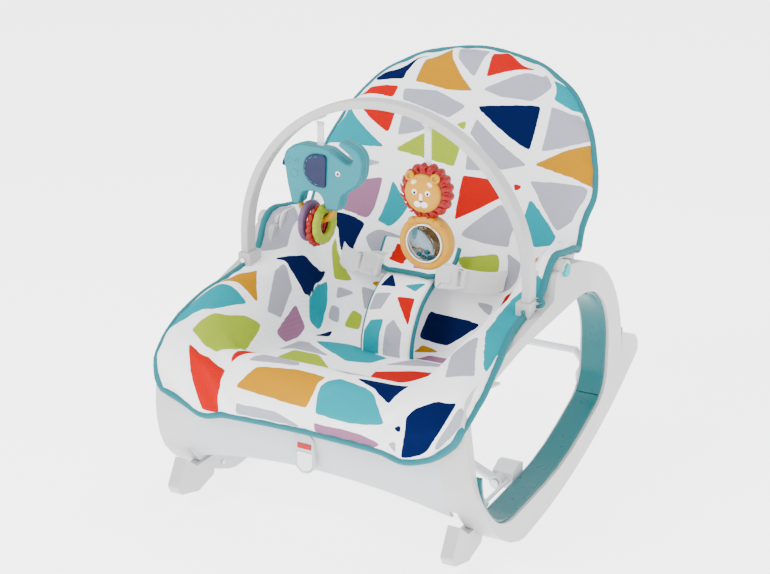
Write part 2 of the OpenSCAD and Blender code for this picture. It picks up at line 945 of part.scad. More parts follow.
// Half-round bar under the elephant that carries the rings
loop_d = 8;
loop_r = 26.5;
loop_x = -5.5;
loop_top = -70;
module loop_shape() {
  translate([elephant_x + loop_x, bar_y, toy_top + loop_top])
    rotate([-90, 0, 0])
      rotate_extrude(angle = 180) translate([loop_r, 0]) circle(d = loop_d);
}
module ring_loop() {
  color(MUSTARD) loop_shape();
}

// A ring of thickness t that hangs on the bar at local x, with its axis along the bar
ring_hole = 13;
RING_X = [-17, -6, 4];
// Height of the top of a ring's hole: clear of the bar over the ring's whole thickness
function hole_top(x, t) =
  loop_top + 0.4 - sqrt(pow(loop_r - loop_d / 2, 2) - pow(abs(x - loop_x) + t / 2, 2));
module teether_ring(i, t, knobs) {
  x = RING_X[i];
  centre_z = toy_top + hole_top(x, t) - ring_hole;
  translate([elephant_x + x - t / 2, bar_y, centre_z])
    rotate([0, 90, 0])
      difference() {
        union() {
          cylinder(h = t, r = ring_r - (knobs > 0 ? 2.5 : 0));
          if (knobs > 0)
            for (k = [0:knobs - 1])
              rotate([0, 0, 360 * k / knobs]) translate([ring_r - 3.5, 0, 0]) cylinder(h = t, r = 3.5);
        }
        translate([0, 0, -1]) cylinder(h = t + 2, r = ring_hole);
      }
}
module purple_ring() { color(LILAC) teether_ring(0, 8, 0); }
module red_ring() { color(RED) teether_ring(1, 9, 16); }
module green_ring() { color(LIME) teether_ring(2, 9, 0); }

// Round rattle: scalloped mane, face disc, lower ring with a clear window
mane_z = toy_top - 36;
rattle_z = toy_top - 101;
mane_t = 22;
module lion_mane() {
  petals = 18;
  petal_r = 5.5;
  color(RED)
    difference() {
      front_extrude(bar_y + mane_t / 2, bar_y - mane_t / 2)
        translate([lion_x, mane_z]) {
          circle(r = rattle_r - 3);
          for (k = [0:petals - 1])
            rotate(360 * k / petals) translate([rattle_r - petal_r, 0]) circle(r = petal_r);
        }
      strap_socket(lion_x, lion_bead_z);
    }
}

module lion_face() {
  color(MUSTARD)
    front_extrude(bar_y - mane_t / 2, bar_y - mane_t / 2 - 6)
      translate([lion_x - 1, mane_z - 1]) {
        circle(r = 24);
        translate([-17, 21]) circle(r = 6);
        translate([17, 21]) circle(r = 6);
      }
}

window_r = 24;
module lion_ring() {
  ring_t = 20;
  color(MUSTARD)
    difference() {
      front_extrude(bar_y + ring_t / 2, bar_y - ring_t / 2)
        difference() {
          translate([lion_x, rattle_z]) circle(r = rattle_r);
          translate([lion_x, mane_z]) circle(r = rattle_r + 0.5);
        }
      translate([lion_x, bar_y + ring_t / 2 - 3, rattle_z]) rotate([90, 0, 0]) cylinder(h = 40, r = window_r);
    }
}

// Clear domed window, hollow so that the beads can tumble
module rattle_window() {
  dome_r = 34;
  front_y = bar_y - 7;
  color([0.8, 0.9, 0.95, 0.4])
    translate([lion_x, 0, rattle_z])
      intersection() {
        translate([0, front_y + sqrt(dome_r * dome_r - window_r * window_r), 0])
          difference() {
            sphere(r = dome_r, $fn = 96);
            sphere(r = dome_r - 1.5, $fn = 96);
          }
        translate([0, front_y, 0]) rotate([90, 0, 0]) cylinder(h = 30, r = window_r - 0.1);
      }
}

BEADS = [[-9, -15.5], [-3, -18.2], [3.6, -18], [9.6, -15.2], [0.3, -11.6]];
module rattle_beads() {
  bead_d = 6;
  color(AQUA)
    for (b = BEADS)
      translate([lion_x + b.x, bar_y - 2, rattle_z + b.y]) sphere(d = bead_d);
}

rail_shell_right();
rail_shell_left();
rail_cover_right();
rail_cover_left();
rail_liner_right();
rail_liner_left();
rear_bumpers();
rail_screws();
front_foot_right();
front_foot_left();
front_panel();
soother_case();
battery_door();
battery_cell();
vibration_motor();
motor_weight();
power_button();
label_plate();
seat_pan();
front_stretcher();
stretcher_brackets();
stretcher_bolts();
kickstand_tube();
kickstand_hubs();
kickstand_feet();
kickstand_pins();
pivot_housing_right();
pivot_housing_left();
recline_button_right();
recline_button_left();
back_arm_right();
back_arm_left();
back_frame_tube();
back_cross_tube();
backrest_pad();
lower_back_pad();
seat_cushion();
seat_bolster_right();
seat_bolster_left();
crotch_pad();
waist_belts();
belt_buckles();
toy_bar_socket_right();
toy_bar_socket_left();
toy_bar_arch();
toy_bar_screws();
strap_anchors();
elephant_strap();
elephant_body();
elephant_ear();
ring_loop();
purple_ring();
red_ring();
green_ring();
lion_strap();
lion_mane();
lion_face();
lion_ring();
rattle_window();
rattle_beads();
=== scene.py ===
"""Looks of the infant-to-toddler rocker seat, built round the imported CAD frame. Metres, +Z up, seat faces -Y."""
import math

import bmesh
import bpy
import numpy as np
from mathutils import Matrix, Vector
from mathutils.bvhtree import BVHTree
from mathutils.kdtree import KDTree


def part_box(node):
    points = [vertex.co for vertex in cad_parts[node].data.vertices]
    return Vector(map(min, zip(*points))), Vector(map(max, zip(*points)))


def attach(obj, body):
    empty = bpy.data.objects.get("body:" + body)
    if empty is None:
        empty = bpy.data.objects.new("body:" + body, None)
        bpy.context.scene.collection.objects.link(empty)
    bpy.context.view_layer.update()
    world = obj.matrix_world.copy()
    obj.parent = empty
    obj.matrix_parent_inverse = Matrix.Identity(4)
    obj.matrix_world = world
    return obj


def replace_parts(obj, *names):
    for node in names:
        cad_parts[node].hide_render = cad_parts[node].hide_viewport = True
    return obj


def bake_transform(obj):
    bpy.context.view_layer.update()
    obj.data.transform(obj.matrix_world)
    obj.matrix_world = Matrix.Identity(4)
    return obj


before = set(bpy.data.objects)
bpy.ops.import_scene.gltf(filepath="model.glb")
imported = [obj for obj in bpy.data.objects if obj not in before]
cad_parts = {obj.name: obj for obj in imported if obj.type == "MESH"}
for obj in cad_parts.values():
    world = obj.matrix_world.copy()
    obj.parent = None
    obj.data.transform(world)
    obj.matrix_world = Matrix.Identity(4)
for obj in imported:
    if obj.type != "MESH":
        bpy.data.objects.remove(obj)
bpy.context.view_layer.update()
MM = 0.001

# ---------------------------------------------------------------- camera, floor and light

TARGET = Vector((0.0, -0.0506, 0.2650))
AZIMUTH, ELEVATION, DISTANCE = math.radians(28.29), math.radians(20.0), 2.089
LENS_MM, SENSOR_MM = 77.7, 36.0
# Name, place, size in metres and power of each lamp; all point at the middle of the seat
LAMPS = [("key", (-1.3, -1.9, 2.3), 1.6, 70), ("fill", (2.2, -1.2, 1.5), 1.8, 22), ("top", (0.2, 0.4, 2.6), 1.6, 26)]
LAMP_TARGET = Vector((0, 0, 0.25))
SKY_STRENGTH, FLOOR_GLOW, FLOOR_SIZE, FLOOR_DROP = 1.6, 2.6, 14, 0.0005


def make_camera():
    data = bpy.data.cameras.new("camera")
    data.lens, data.sensor_width = LENS_MM, SENSOR_MM
    data.clip_end = 30
    camera = bpy.data.objects.new("camera", data)
    flat = math.cos(ELEVATION)
    away = Vector((math.sin(AZIMUTH) * flat, -math.cos(AZIMUTH) * flat, math.sin(ELEVATION)))
    camera.location = TARGET + DISTANCE * away
    camera.rotation_euler = away.to_track_quat("Z", "Y").to_euler()
    bpy.context.collection.objects.link(camera)
    bpy.context.scene.camera = camera


def area_light(name, place, size, power):
    data = bpy.data.lights.new(name, "AREA")
    data.shape, data.size, data.energy = "DISK", size, power
    light = bpy.data.objects.new(name, data)
    light.location = place
    light.rotation_euler = (Vector(place) - LAMP_TARGET).to_track_quat("Z", "Y").to_euler()
    bpy.context.collection.objects.link(light)


def make_studio():
    world = bpy.data.worlds.new("studio")
    world.use_nodes = True
    sky = world.node_tree
    set_inputs(sky, sky.nodes["Background"], {"Color": (0.97, 0.98, 1.0, 1), "Strength": SKY_STRENGTH})
    bpy.context.scene.world = world
    for lamp in LAMPS:
        area_light(*lamp)
    bpy.ops.mesh.primitive_plane_add(size=FLOOR_SIZE, location=(0, 0, -FLOOR_DROP))
    floor = bpy.context.object
    floor.name = "floor"
    pale = plain_material("floor_pale", (0.93, 0.93, 0.93), 0.8)
    tree = pale.node_tree
    glow = {"Emission Color": (1, 1, 1, 1), "Emission Strength": FLOOR_GLOW}
    set_inputs(tree, tree.nodes["Principled BSDF"], glow)
    floor.data.materials.append(pale)


# ---------------------------------------------------------------- materials


def new_material(name):
    """A new node material, its tree and its Principled shader."""
    material = bpy.data.materials.new(name)
    material.use_nodes = True
    tree = material.node_tree
    return material, tree, tree.nodes["Principled BSDF"]


def set_inputs(tree, node, values):
    """Links each socket among the values, and sets the others, which are the same all over the surface."""
    for key, value in values.items():
        if isinstance(value, bpy.types.NodeSocket):
            tree.links.new(value, node.inputs[key])
        else:
            node.inputs[key].default_value = value


def add_node(tree, kind, values=(), **settings):
    node = tree.nodes.new(kind)
    for key, value in settings.items():
        setattr(node, key, value)
    set_inputs(tree, node, dict(values))
    return node


def object_place(tree):
    return add_node(tree, "ShaderNodeTexCoord").outputs["Object"]


def noise(tree, scale, detail=2.0, roughness=0.5):
    values = {"Vector": object_place(tree), "Scale": scale, "Detail": detail, "Roughness": roughness}
    return add_node(tree, "ShaderNodeTexNoise", values).outputs["Fac"]


def ramp(tree, factor, stops):
    """A colour ramp: stops are (position, colour), or (position, level) for a grey."""
    node = add_node(tree, "ShaderNodeValToRGB", {"Fac": factor})
    band = node.color_ramp
    while len(band.elements) < len(stops):
        band.elements.new(0.5)
    for element, (position, colour) in zip(band.elements, stops):
        element.position = position
        element.color = (*colour, 1) if isinstance(colour, (tuple, list)) else (colour, colour, colour, 1)
    return node.outputs["Color"]


def math_node(tree, operation, a, b=0.0, clamp=False):
    node = add_node(tree, "ShaderNodeMath", {0: a, 1: b}, operation=operation, use_clamp=clamp)
    return node.outputs["Value"]


def mix_colour(tree, factor, a, b, blend="MIX"):
    node = add_node(tree, "ShaderNodeMix", {0: factor, 6: a, 7: b}, data_type="RGBA", blend_type=blend)
    return node.outputs[2]


def bump(tree, height, strength, distance):
    values = {"Height": height, "Strength": strength, "Distance": distance}
    return add_node(tree, "ShaderNodeBump", values).outputs["Normal"]


def plain_material(name, colour, roughness):
    material, tree, shader = new_material(name)
    tone = ramp(tree, noise(tree, 3.0), [(0, colour), (1, [c * 0.985 for c in colour])])
    set_inputs(tree, shader, {"Base Color": tone, "Roughness": roughness})
    return material


def plastic(name, colour, roughness=0.35, grain=900.0, relief=0.00004, coat=0.0, metal=0.0):
    """Moulded plastic or painted metal: slight colour drift, a fine moulded grain and scuffed gloss."""
    material, tree, shader = new_material(name)
    low, high = roughness * 0.85, min(1.0, roughness * 1.25)
    set_inputs(tree, shader, {
        "Base Color": ramp(tree, noise(tree, 14.0, 3.0), [(0.3, [c * 0.93 for c in colour]), (0.7, colour)]),
        "Roughness": ramp(tree, noise(tree, 60.0, 5.0, 0.65), [(0.3, low), (0.75, high)]),
        "Normal": bump(tree, noise(tree, grain, 2.0), 0.35, relief),
        "Specular IOR Level": 0.3, "Coat Weight": coat, "Coat Roughness": 0.12, "Metallic": metal,
    })
    return material


def weave_height(tree, threads):
    """Plain weave from two crossed waves in object space, for threads per metre."""
    waves = []
    for direction in ("X", "DIAGONAL"):
        values = {"Vector": object_place(tree), "Scale": threads, "Distortion": 0.6, "Detail": 1.0}
        wave = add_node(tree, "ShaderNodeTexWave", values, wave_type="BANDS", bands_direction=direction)
        waves.append(wave.outputs["Fac"])
    return math_node(tree, "MULTIPLY", *waves)


def fabric(name, colour, threads, sheen, relief, shade):
    """Woven cloth of one colour with thread relief, soft mottling, painted shade in the weave's hollows and a light
    sheen.
    """
    material, tree, shader = new_material(name)
    height = weave_height(tree, threads)
    base = ramp(tree, noise(tree, 30.0, 4.0), [(0.25, [c * 0.94 for c in colour]), (0.8, colour)])
    # Painted shade: the colour is darkened down to the shade level where the weave's height is low
    tone = ramp(tree, height, [(0.0, shade), (0.6, 1)])
    set_inputs(tree, shader, {
        "Base Color": mix_colour(tree, 1.0, base, tone, "MULTIPLY"), "Normal": bump(tree, height, 0.5, relief),
        "Roughness": 0.85, "Sheen Weight": sheen, "Sheen Roughness": 0.5,
    })
    return material


def printed_fabric():
    """White cloth with the printed mosaic: 'ink' is the distance inside a patch and 'tint' its colour."""
    material, tree, shader = new_material("print_cloth")
    height = weave_height(tree, 190.0)
    ink = add_node(tree, "ShaderNodeAttribute", attribute_name="ink").outputs["Fac"]
    tint = add_node(tree, "ShaderNodeAttribute", attribute_name="tint").outputs["Color"]
    ragged = math_node(tree, "MULTIPLY", math_node(tree, "SUBTRACT", noise(tree, 420.0, 2.0), 0.5), 0.0007)
    edge = math_node(tree, "MULTIPLY", math_node(tree, "ADD", ink, ragged), 2600.0)
    cover = math_node(tree, "ADD", edge, 0.5, clamp=True)
    ground = ramp(tree, noise(tree, 26.0, 4.0), [(0.3, (0.93, 0.93, 0.96)), (0.75, (0.97, 0.97, 0.99))])
    worn = ramp(tree, noise(tree, 700.0, 3.0), [(0.25, 0.88), (0.8, 1.04)])
    dyed = mix_colour(tree, 1.0, tint, worn, "MULTIPLY")
    # Painted shade: the cloth is darkened where the weave's height is low
    tone = ramp(tree, height, [(0.0, 0.88), (0.6, 1)])
    colour = mix_colour(tree, 1.0, mix_colour(tree, cover, ground, dyed), tone, "MULTIPLY")
    set_inputs(tree, shader, {
        "Base Color": colour, "Normal": bump(tree, height, 0.45, 0.0002),
        "Roughness": 0.85, "Specular IOR Level": 0.05,
    })
    return material


def clear_plastic():
    material, tree, shader = new_material("clear_plastic")
    haze = ramp(tree, noise(tree, 120.0, 3.0), [(0.3, 0.03), (0.8, 0.08)])
    values = {"Base Color": (0.93, 0.97, 1.0, 1), "Roughness": haze, "Transmission Weight": 1.0, "IOR": 1.2}
    set_inputs(tree, shader, values)
    return material


def picture():
    """Generic coloured blots behind the clear window."""
    material, tree, shader = new_material("rattle_picture")
    sky, teal, brown = (0.66, 0.80, 0.84), (0.10, 0.45, 0.50), (0.50, 0.26, 0.10)
    bands = [(0.0, teal), (0.34, teal), (0.37, sky), (0.60, sky), (0.63, brown), (0.68, brown), (0.71, sky)]
    set_inputs(tree, shader, {"Base Color": ramp(tree, noise(tree, 75.0, 1.0), bands), "Roughness": 0.5})
    return material


M = {
    "rail": plastic("rail_white", (0.46, 0.46, 0.45), 0.38),
    "panel": plastic("panel_white", (0.47, 0.485, 0.50), 0.42),
    "liner": plastic("liner_teal", (0.0, 0.10, 0.11), 0.3, 1400.0, 0.00001),
    "dark_white": plastic("hardware_white", (0.66, 0.67, 0.68), 0.45),
    "steel": plastic("painted_tube", (0.62, 0.63, 0.65), 0.32, 1500.0, 0.00002, 0.2, 0.2),
    "bolt": plastic("bright_steel", (0.55, 0.56, 0.58), 0.25, 1500.0, 0.00002, 0.0, 1.0),
    "rubber": plastic("grey_rubber", (0.22, 0.23, 0.24), 0.7, 500.0, 0.00008),
    "bumper": plastic("teal_rubber", (0.0, 0.36, 0.38), 0.65, 500.0, 0.00008),
    "inner": plastic("inner_white", (0.6, 0.61, 0.63), 0.5),
    "button": plastic("button_white", (0.8, 0.81, 0.83), 0.3),
    "label": plastic("label_red", (0.35, 0.0, 0.0), 0.4),
    "navy_toy": plastic("toy_navy", (0.0, 0.004, 0.045), 0.4, 600.0, 0.00005),
    "aqua_toy": plastic("toy_aqua", (0.0, 0.18, 0.22), 0.4, 700.0, 0.00004, 0.05),
    "aqua_dark": plastic("toy_aqua_dark", (0.02, 0.24, 0.28), 0.4),
    "red_toy": plastic("toy_red", (0.27, 0.0, 0.0), 0.4, 700.0, 0.00004, 0.05),
    "mustard_toy": plastic("toy_mustard", (0.50, 0.225, 0.0), 0.4, 700.0, 0.00004, 0.05),
    "lime_toy": plastic("toy_lime", (0.24, 0.32, 0.0), 0.38, 500.0, 0.00006),
    "lilac_toy": plastic("toy_purple", (0.13, 0.07, 0.15), 0.38, 500.0, 0.00006),
    "white_toy": plastic("toy_white", (0.82, 0.81, 0.78), 0.3),
    "black_toy": plastic("toy_black", (0.012, 0.012, 0.014), 0.2),
    "patch_toy": plastic("toy_cream", (0.80, 0.62, 0.42), 0.35),
    "print": printed_fabric(),
    "piping": fabric("teal_piping", (0.0, 0.16, 0.19), 320.0, 0.0, 0.0003, 0.7),
    "webbing": fabric("white_webbing", (0.78, 0.78, 0.80), 420.0, 0.1, 0.0003, 0.78),
    "clear": clear_plastic(),
    "buckle": plastic("buckle_white", (0.70, 0.70, 0.71), 0.4),
    "picture": picture(),
}

make_camera()
make_studio()

# ---------------------------------------------------------------- mesh helpers


def new_piece(name, mesh, material):
    """An object for a mesh, in the named material and smooth all over."""
    mesh.materials.clear()
    mesh.materials.append(M[material])
    mesh.polygons.foreach_set("use_smooth", [True] * len(mesh.polygons))
    piece = bpy.data.objects.new(name, mesh)
    bpy.context.collection.objects.link(piece)
    return piece


def mesh_piece(name, verts, faces, material, body=None):
    mesh = bpy.data.meshes.new(name)
    mesh.from_pydata([tuple(v) for v in verts], [], [tuple(f) for f in faces])
    mesh.validate()
    mesh.update()
    piece = new_piece(name, mesh, material)
    if body:
        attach(piece, body)
    return piece


def outward(piece):
    """Makes every face of a closed mesh look outwards."""
    form = bmesh.new()
    form.from_mesh(piece.data)
    bmesh.ops.remove_doubles(form, verts=form.verts, dist=1e-6)
    bmesh.ops.recalc_face_normals(form, faces=form.faces)
    form.to_mesh(piece.data)
    form.free()
    return piece


def modifier(piece, kind, **settings):
    added = piece.modifiers.new(kind.lower(), kind)
    for key, value in settings.items():
        setattr(added, key, value)
    return added


def apply_modifiers(piece):
    """Replaces the mesh by what its modifiers make of it."""
    view = bpy.context.evaluated_depsgraph_get()
    view.update()
    mesh = bpy.data.meshes.new_from_object(piece.evaluated_get(view))
    piece.modifiers.clear()
    old = piece.data
    piece.data = mesh
    bpy.data.meshes.remove(old)
    mesh.name = piece.name
    return piece


def bevelled(piece, width, segments=3, angle=35):
    modifier(
        piece, "BEVEL", width=width, segments=segments, limit_method="ANGLE",
        angle_limit=math.radians(angle), harden_normals=False,
    )
    modifier(piece, "WEIGHTED_NORMAL", keep_sharp=True)
    return piece


def plate(name, outline, depth, place, material, body, holes=()):
    """A plate of the given outline, thick along local Z; place turns its local points into the frame."""
    flat = bmesh.new()
    edges = []
    for ring in (outline, *holes):
        points = [flat.verts.new((x, y, 0)) for x, y in ring]
        edges.extend(flat.edges.new(pair) for pair in zip(points, points[1:] + points[:1]))
    bmesh.ops.triangle_fill(flat, edges=edges, use_beauty=True, use_dissolve=True)
    grown = bmesh.ops.extrude_face_region(flat, geom=list(flat.faces))["geom"]
    bmesh.ops.translate(flat, verts=[g for g in grown if isinstance(g, bmesh.types.BMVert)], vec=(0, 0, depth))
    for vert in flat.verts:
        vert.co = place(*vert.co)
    bmesh.ops.recalc_face_normals(flat, faces=flat.faces)
    mesh = bpy.data.meshes.new(name)
    flat.to_mesh(mesh)
    flat.free()
    piece = new_piece(name, mesh, material)
    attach(piece, body)
    return piece


def front_place(y):
    """Local X-Y drawn as X-Z, with the thickness running towards the viewer from y."""
    return lambda a, b, c: Vector((a, y - c, b))


def smooth_path(points, per_span=8):
    """Catmull-Rom curve through the points."""
    pts = [Vector(p) for p in points]
    pts = [pts[0] * 2 - pts[1], *pts, pts[-1] * 2 - pts[-2]]
    out = []
    for p0, p1, p2, p3 in zip(pts, pts[1:], pts[2:], pts[3:]):
        for k in range(per_span):
            t = k / per_span
            out.append(
                0.5 * (2 * p1 + (p2 - p0) * t + (2 * p0 - 5 * p1 + 4 * p2 - p3) * t * t
                       + (3 * p1 - p0 - 3 * p2 + p3) * t ** 3)
            )
    return [*out, pts[-2]]


def circle(count):
    """Angles of count points round a whole turn."""
    return [2 * math.pi * k / count for k in range(count)]


def ring_faces(rows, sides, closed=False):
    """Faces between rings of points that follow each other, each with the same number of sides."""
    faces = []
    for i in range(rows if closed else rows - 1):
        here, ahead = i * sides, (i + 1) % rows * sides
        for k in range(sides):
            faces.append((here + k, here + (k + 1) % sides, ahead + (k + 1) % sides, ahead + k))
    return faces


def end_caps(rows, sides):
    return [tuple(range(sides))[::-1], tuple((rows - 1) * sides + k for k in range(sides))]


def tube(name, path, radius, material, body, closed=False, sides=14, flatten=1.0):
    """A tube along a path, its cross-section kept from twisting; radius may be one value for each point."""
    pts = [Vector(p) for p in path]
    count = len(pts)
    radii = radius if isinstance(radius, list) else [radius] * count
    verts, across = [], None
    for i, point in enumerate(pts):
        before = pts[i - 1] if closed or i > 0 else point
        after = pts[(i + 1) % count] if closed or i < count - 1 else point
        along = (after - before).normalized()
        across = along.orthogonal() if across is None else across - along * across.dot(along)
        across.normalize()
        other = along.cross(across)
        for turn in circle(sides):
            verts.append(point + radii[i] * (math.cos(turn) * across + flatten * math.sin(turn) * other))
    faces = ring_faces(count, sides, closed) + ([] if closed else end_caps(count, sides))
    return outward(mesh_piece(name, verts, faces, material, body))


def band(name, rings, material, body):
    """A flat strap from a list of four-cornered cross-sections."""
    verts = [corner for ring in rings for corner in ring]
    faces = ring_faces(len(rings), 4) + end_caps(len(rings), 4)
    return outward(mesh_piece(name, verts, faces, material, body))


def joined(name, pieces):
    """Joins pieces of one body into the first, under one name."""
    bpy.ops.object.select_all(action="DESELECT")
    for piece in pieces:
        apply_modifiers(piece)
        piece.select_set(True)
    bpy.context.view_layer.objects.active = pieces[0]
    bpy.ops.object.join()
    pieces[0].name = name
    pieces[0].data.name = name
    return pieces[0]


# ---------------------------------------------------------------- the padded cover

LEAN = math.radians(57.5)
BACK_ROOT = (77.0, 262.0)


def on_back(x, up, out):
    """A point of the seat back in millimetres: x across, up along the back, out of its front."""
    return (
        x,
        BACK_ROOT[0] + up * math.cos(LEAN) - out * math.sin(LEAN),
        BACK_ROOT[1] + up * math.sin(LEAN) + out * math.cos(LEAN),
    )


# Cross-sections of the cover in millimetres, from the front edge to the wings beside the pivots. Each runs from
# the middle to the right: middle, crease, inner wall, crest, edge.
SECTIONS = [
    [(0, -262, 152), (105, -262, 149), (135, -263, 143), (166, -257, 149), (199, -236, 170)],
    [(0, -267, 180), (105, -267, 180), (137, -267, 180), (175, -260, 192), (211, -222, 193)],
    [(0, -262, 208), (105, -262, 208), (137, -261, 212), (176, -246, 222), (214, -205, 214)],
    [(0, -238, 220), (104, -238, 220), (137, -236, 226), (177, -220, 240), (214, -193, 225)],
    [(0, -210, 212), (104, -211, 213), (137, -210, 226), (177, -195, 252), (213, -178, 237)],
    [(0, -192, 192), (108, -196, 194), (137, -188, 222), (177, -172, 259), (211, -160, 248)],
    [(0, -160, 186), (113, -160, 187), (139, -152, 226), (177, -145, 264), (207, -137, 256)],
    [(0, -110, 178), (115, -110, 179), (141, -108, 232), (176, -104, 266), (201, -104, 260)],
    [(0, -55, 170), (117, -55, 171), (142, -55, 234), (172, -54, 270), (199, -48, 273)],
    [(0, -14, 162), (117, -12, 164), (143, -16, 232), (173, -20, 280), (203, -26, 286)],
    [(0, 4, 164), (117, 4, 168), (146, 5, 240), (174, 0, 300), (204, -8, 314)],
    [(0, 20, 190), (117, 20, 192), (148, 20, 250), (175, 20, 308), (204, 13, 323)],
    [(0, 40, 224), (120, 40, 226), (150, 42, 260), (175, 44, 306), (204, 42, 318)],
    [(0, 58, 254), (122, 59, 256), (153, 63, 272), (176, 72, 300), (203, 74, 313)],
]
# The left edge of the first sections, which lies on the rail's outer edge
LEFT_EDGE = [
    (204, -250, 161), (213, -249, 184), (214, -239, 206), (214, -221, 224), (214, -197, 236), (212, -172, 246),
    (209, -145, 254), (203, -106, 261),
]
# Half width of the back at these distances up it, and each section's points as (share of the half width, out)
BACK_WIDTHS = [(48, 199), (70, 197), (93, 199), (114, 203), (140, 199), (166, 191), (199, 178)]
BACK_SHARES = ((0, 13), (0.42, 14), (0.68, 16), (0.9, 14), (1, 2))
# The rounded top of the back, as (x, up, out) from the middle to the edge
BACK_TOP = [
    [(0, 232, 14), (68, 230, 15), (112, 226, 17), (146, 220, 14), (160, 228, 2)],
    [(0, 258, 14), (58, 256, 15), (98, 250, 17), (126, 243, 14), (140, 252, 2)],
    [(0, 280, 14), (48, 277, 15), (80, 269, 16), (103, 262, 13), (115, 269, 2)],
    [(0, 293, 10), (38, 291, 10), (60, 284, 10), (78, 279, 9), (90, 283, 2)],
    [(0, 300, 2), (20, 299, 2), (38, 296, 2), (54, 293, 2), (68, 290, 2)],
]


def all_sections():
    """Every cross-section as nine points from the left edge to the right one."""
    rows = list(SECTIONS)
    for up, half in BACK_WIDTHS:
        rows.append([on_back(share * half, up, out) for share, out in BACK_SHARES])
    rows.extend([on_back(*point) for point in row] for row in BACK_TOP)
    whole = []
    for k, right in enumerate(rows):
        left = right[1:]
        if k < len(LEFT_EDGE):
            left[-1] = LEFT_EDGE[k]
        whole.append([(-x, y, z) for x, y, z in reversed(left)] + right)
    return np.array(whole, float)


def slopes(at, values):
    """Slopes of a curve through values that never overshoots them."""
    step = np.diff(at).reshape(-1, 1, 1)
    rise = np.diff(values, axis=0) / step
    first, second = rise[:-1], rise[1:]
    near, far = 2 * step[1:] + step[:-1], step[1:] + 2 * step[:-1]
    with np.errstate(divide="ignore", invalid="ignore"):
        mean = (near + far) / (near / first + far / second)
    inner = np.where(first * second > 0, mean, 0)
    return np.concatenate([rise[:1], inner, rise[-1:]])


def curve_through(at, values, wanted):
    """Points at the wanted distances on a smooth curve through values, which lie at the distances in at."""
    slope = slopes(at, values)
    i = np.clip(np.searchsorted(at, wanted, side="right") - 1, 0, len(at) - 2)
    step = (at[i + 1] - at[i]).reshape(-1, 1, 1)
    t = ((wanted - at[i]).reshape(-1, 1, 1)) / step
    return (
        (2 * t ** 3 - 3 * t ** 2 + 1) * values[i] + (t ** 3 - 2 * t ** 2 + t) * step * slope[i]
        + (3 * t ** 2 - 2 * t ** 3) * values[i + 1] + (t ** 3 - t ** 2) * step * slope[i + 1]
    )


def running_length(points, axis):
    """Mean distance along a grid of points in one direction, from its start."""
    steps = np.linalg.norm(np.diff(points, axis=axis), axis=2).mean(1 - axis)
    return np.concatenate([[0], np.cumsum(steps)])


def cover_grid(across, along):
    """The outer face of the cover as a grid in metres, with its print chart: (-10..10 across, cm along)."""
    rows = all_sections()
    along_at, across_at = running_length(rows, 0), running_length(rows, 1)
    grid = curve_through(along_at, rows, np.linspace(0, along_at[-1], along))
    turned = curve_through(across_at, np.swapaxes(grid, 0, 1), np.linspace(0, across_at[-1], across))
    grid = np.swapaxes(turned, 0, 1)
    middle = grid[:, across // 2]
    centimetres = np.concatenate([[0], np.cumsum(np.linalg.norm(np.diff(middle, axis=0), axis=1))]) / 10
    chart = np.stack(np.meshgrid(np.linspace(-10, 10, across), centimetres), axis=2)
    return grid * MM, chart


def neighbours(values):
    """The values of a grid's four neighbours, the edge values standing in outside it."""
    padded = np.pad(values, ((1, 1), (1, 1)) + ((0, 0),) * (values.ndim - 2), mode="edge")
    return [padded[:-2, 1:-1], padded[2:, 1:-1], padded[1:-1, :-2], padded[1:-1, 2:]]


def grid_normals(grid):
    """Outward directions of a grid, smoothed a little."""
    normal = np.cross(np.gradient(grid, axis=1), np.gradient(grid, axis=0))
    for _ in range(6):
        normal = sum(neighbours(normal)) / 4
    return normal / np.linalg.norm(normal, axis=2, keepdims=True)


def rim_of(grid):
    """The rim of a grid in one round: first row, last column, last row, first column."""
    return np.concatenate([grid[0], grid[1:, -1], grid[-1, -2::-1], grid[-2:0:-1, 0]])


def edge_distance(grid):
    """Distance of every grid point from the rim of the cover."""
    rim = rim_of(grid)
    tree = KDTree(len(rim))
    for i, point in enumerate(rim):
        tree.insert(point, i)
    tree.balance()
    return np.array([[tree.find(point)[2] for point in row] for row in grid])


def closed_pad(grid, normal, thickness):
    """Vertices and faces of a closed pad whose outer face is the grid."""
    along, across = grid.shape[:2]
    lower = grid - normal * thickness[..., None]
    verts = np.concatenate([grid.reshape(-1, 3), lower.reshape(-1, 3)])
    faces = []
    under = along * across
    for i in range(along - 1):
        for j in range(across - 1):
            a = i * across + j
            faces.append((a, a + 1, a + across + 1, a + across))
            faces.append((under + a, under + a + across, under + a + across + 1, under + a + 1))
    rim = rim_of(np.arange(under).reshape(along, across)).tolist()
    for a, b in zip(rim, rim[1:] + rim[:1]):
        faces.append((a, under + a, under + b, b))
    return verts, faces


def points_of(mesh):
    return np.array([v.co[:] for v in mesh.vertices])


CLOTH_FRAMES = 20


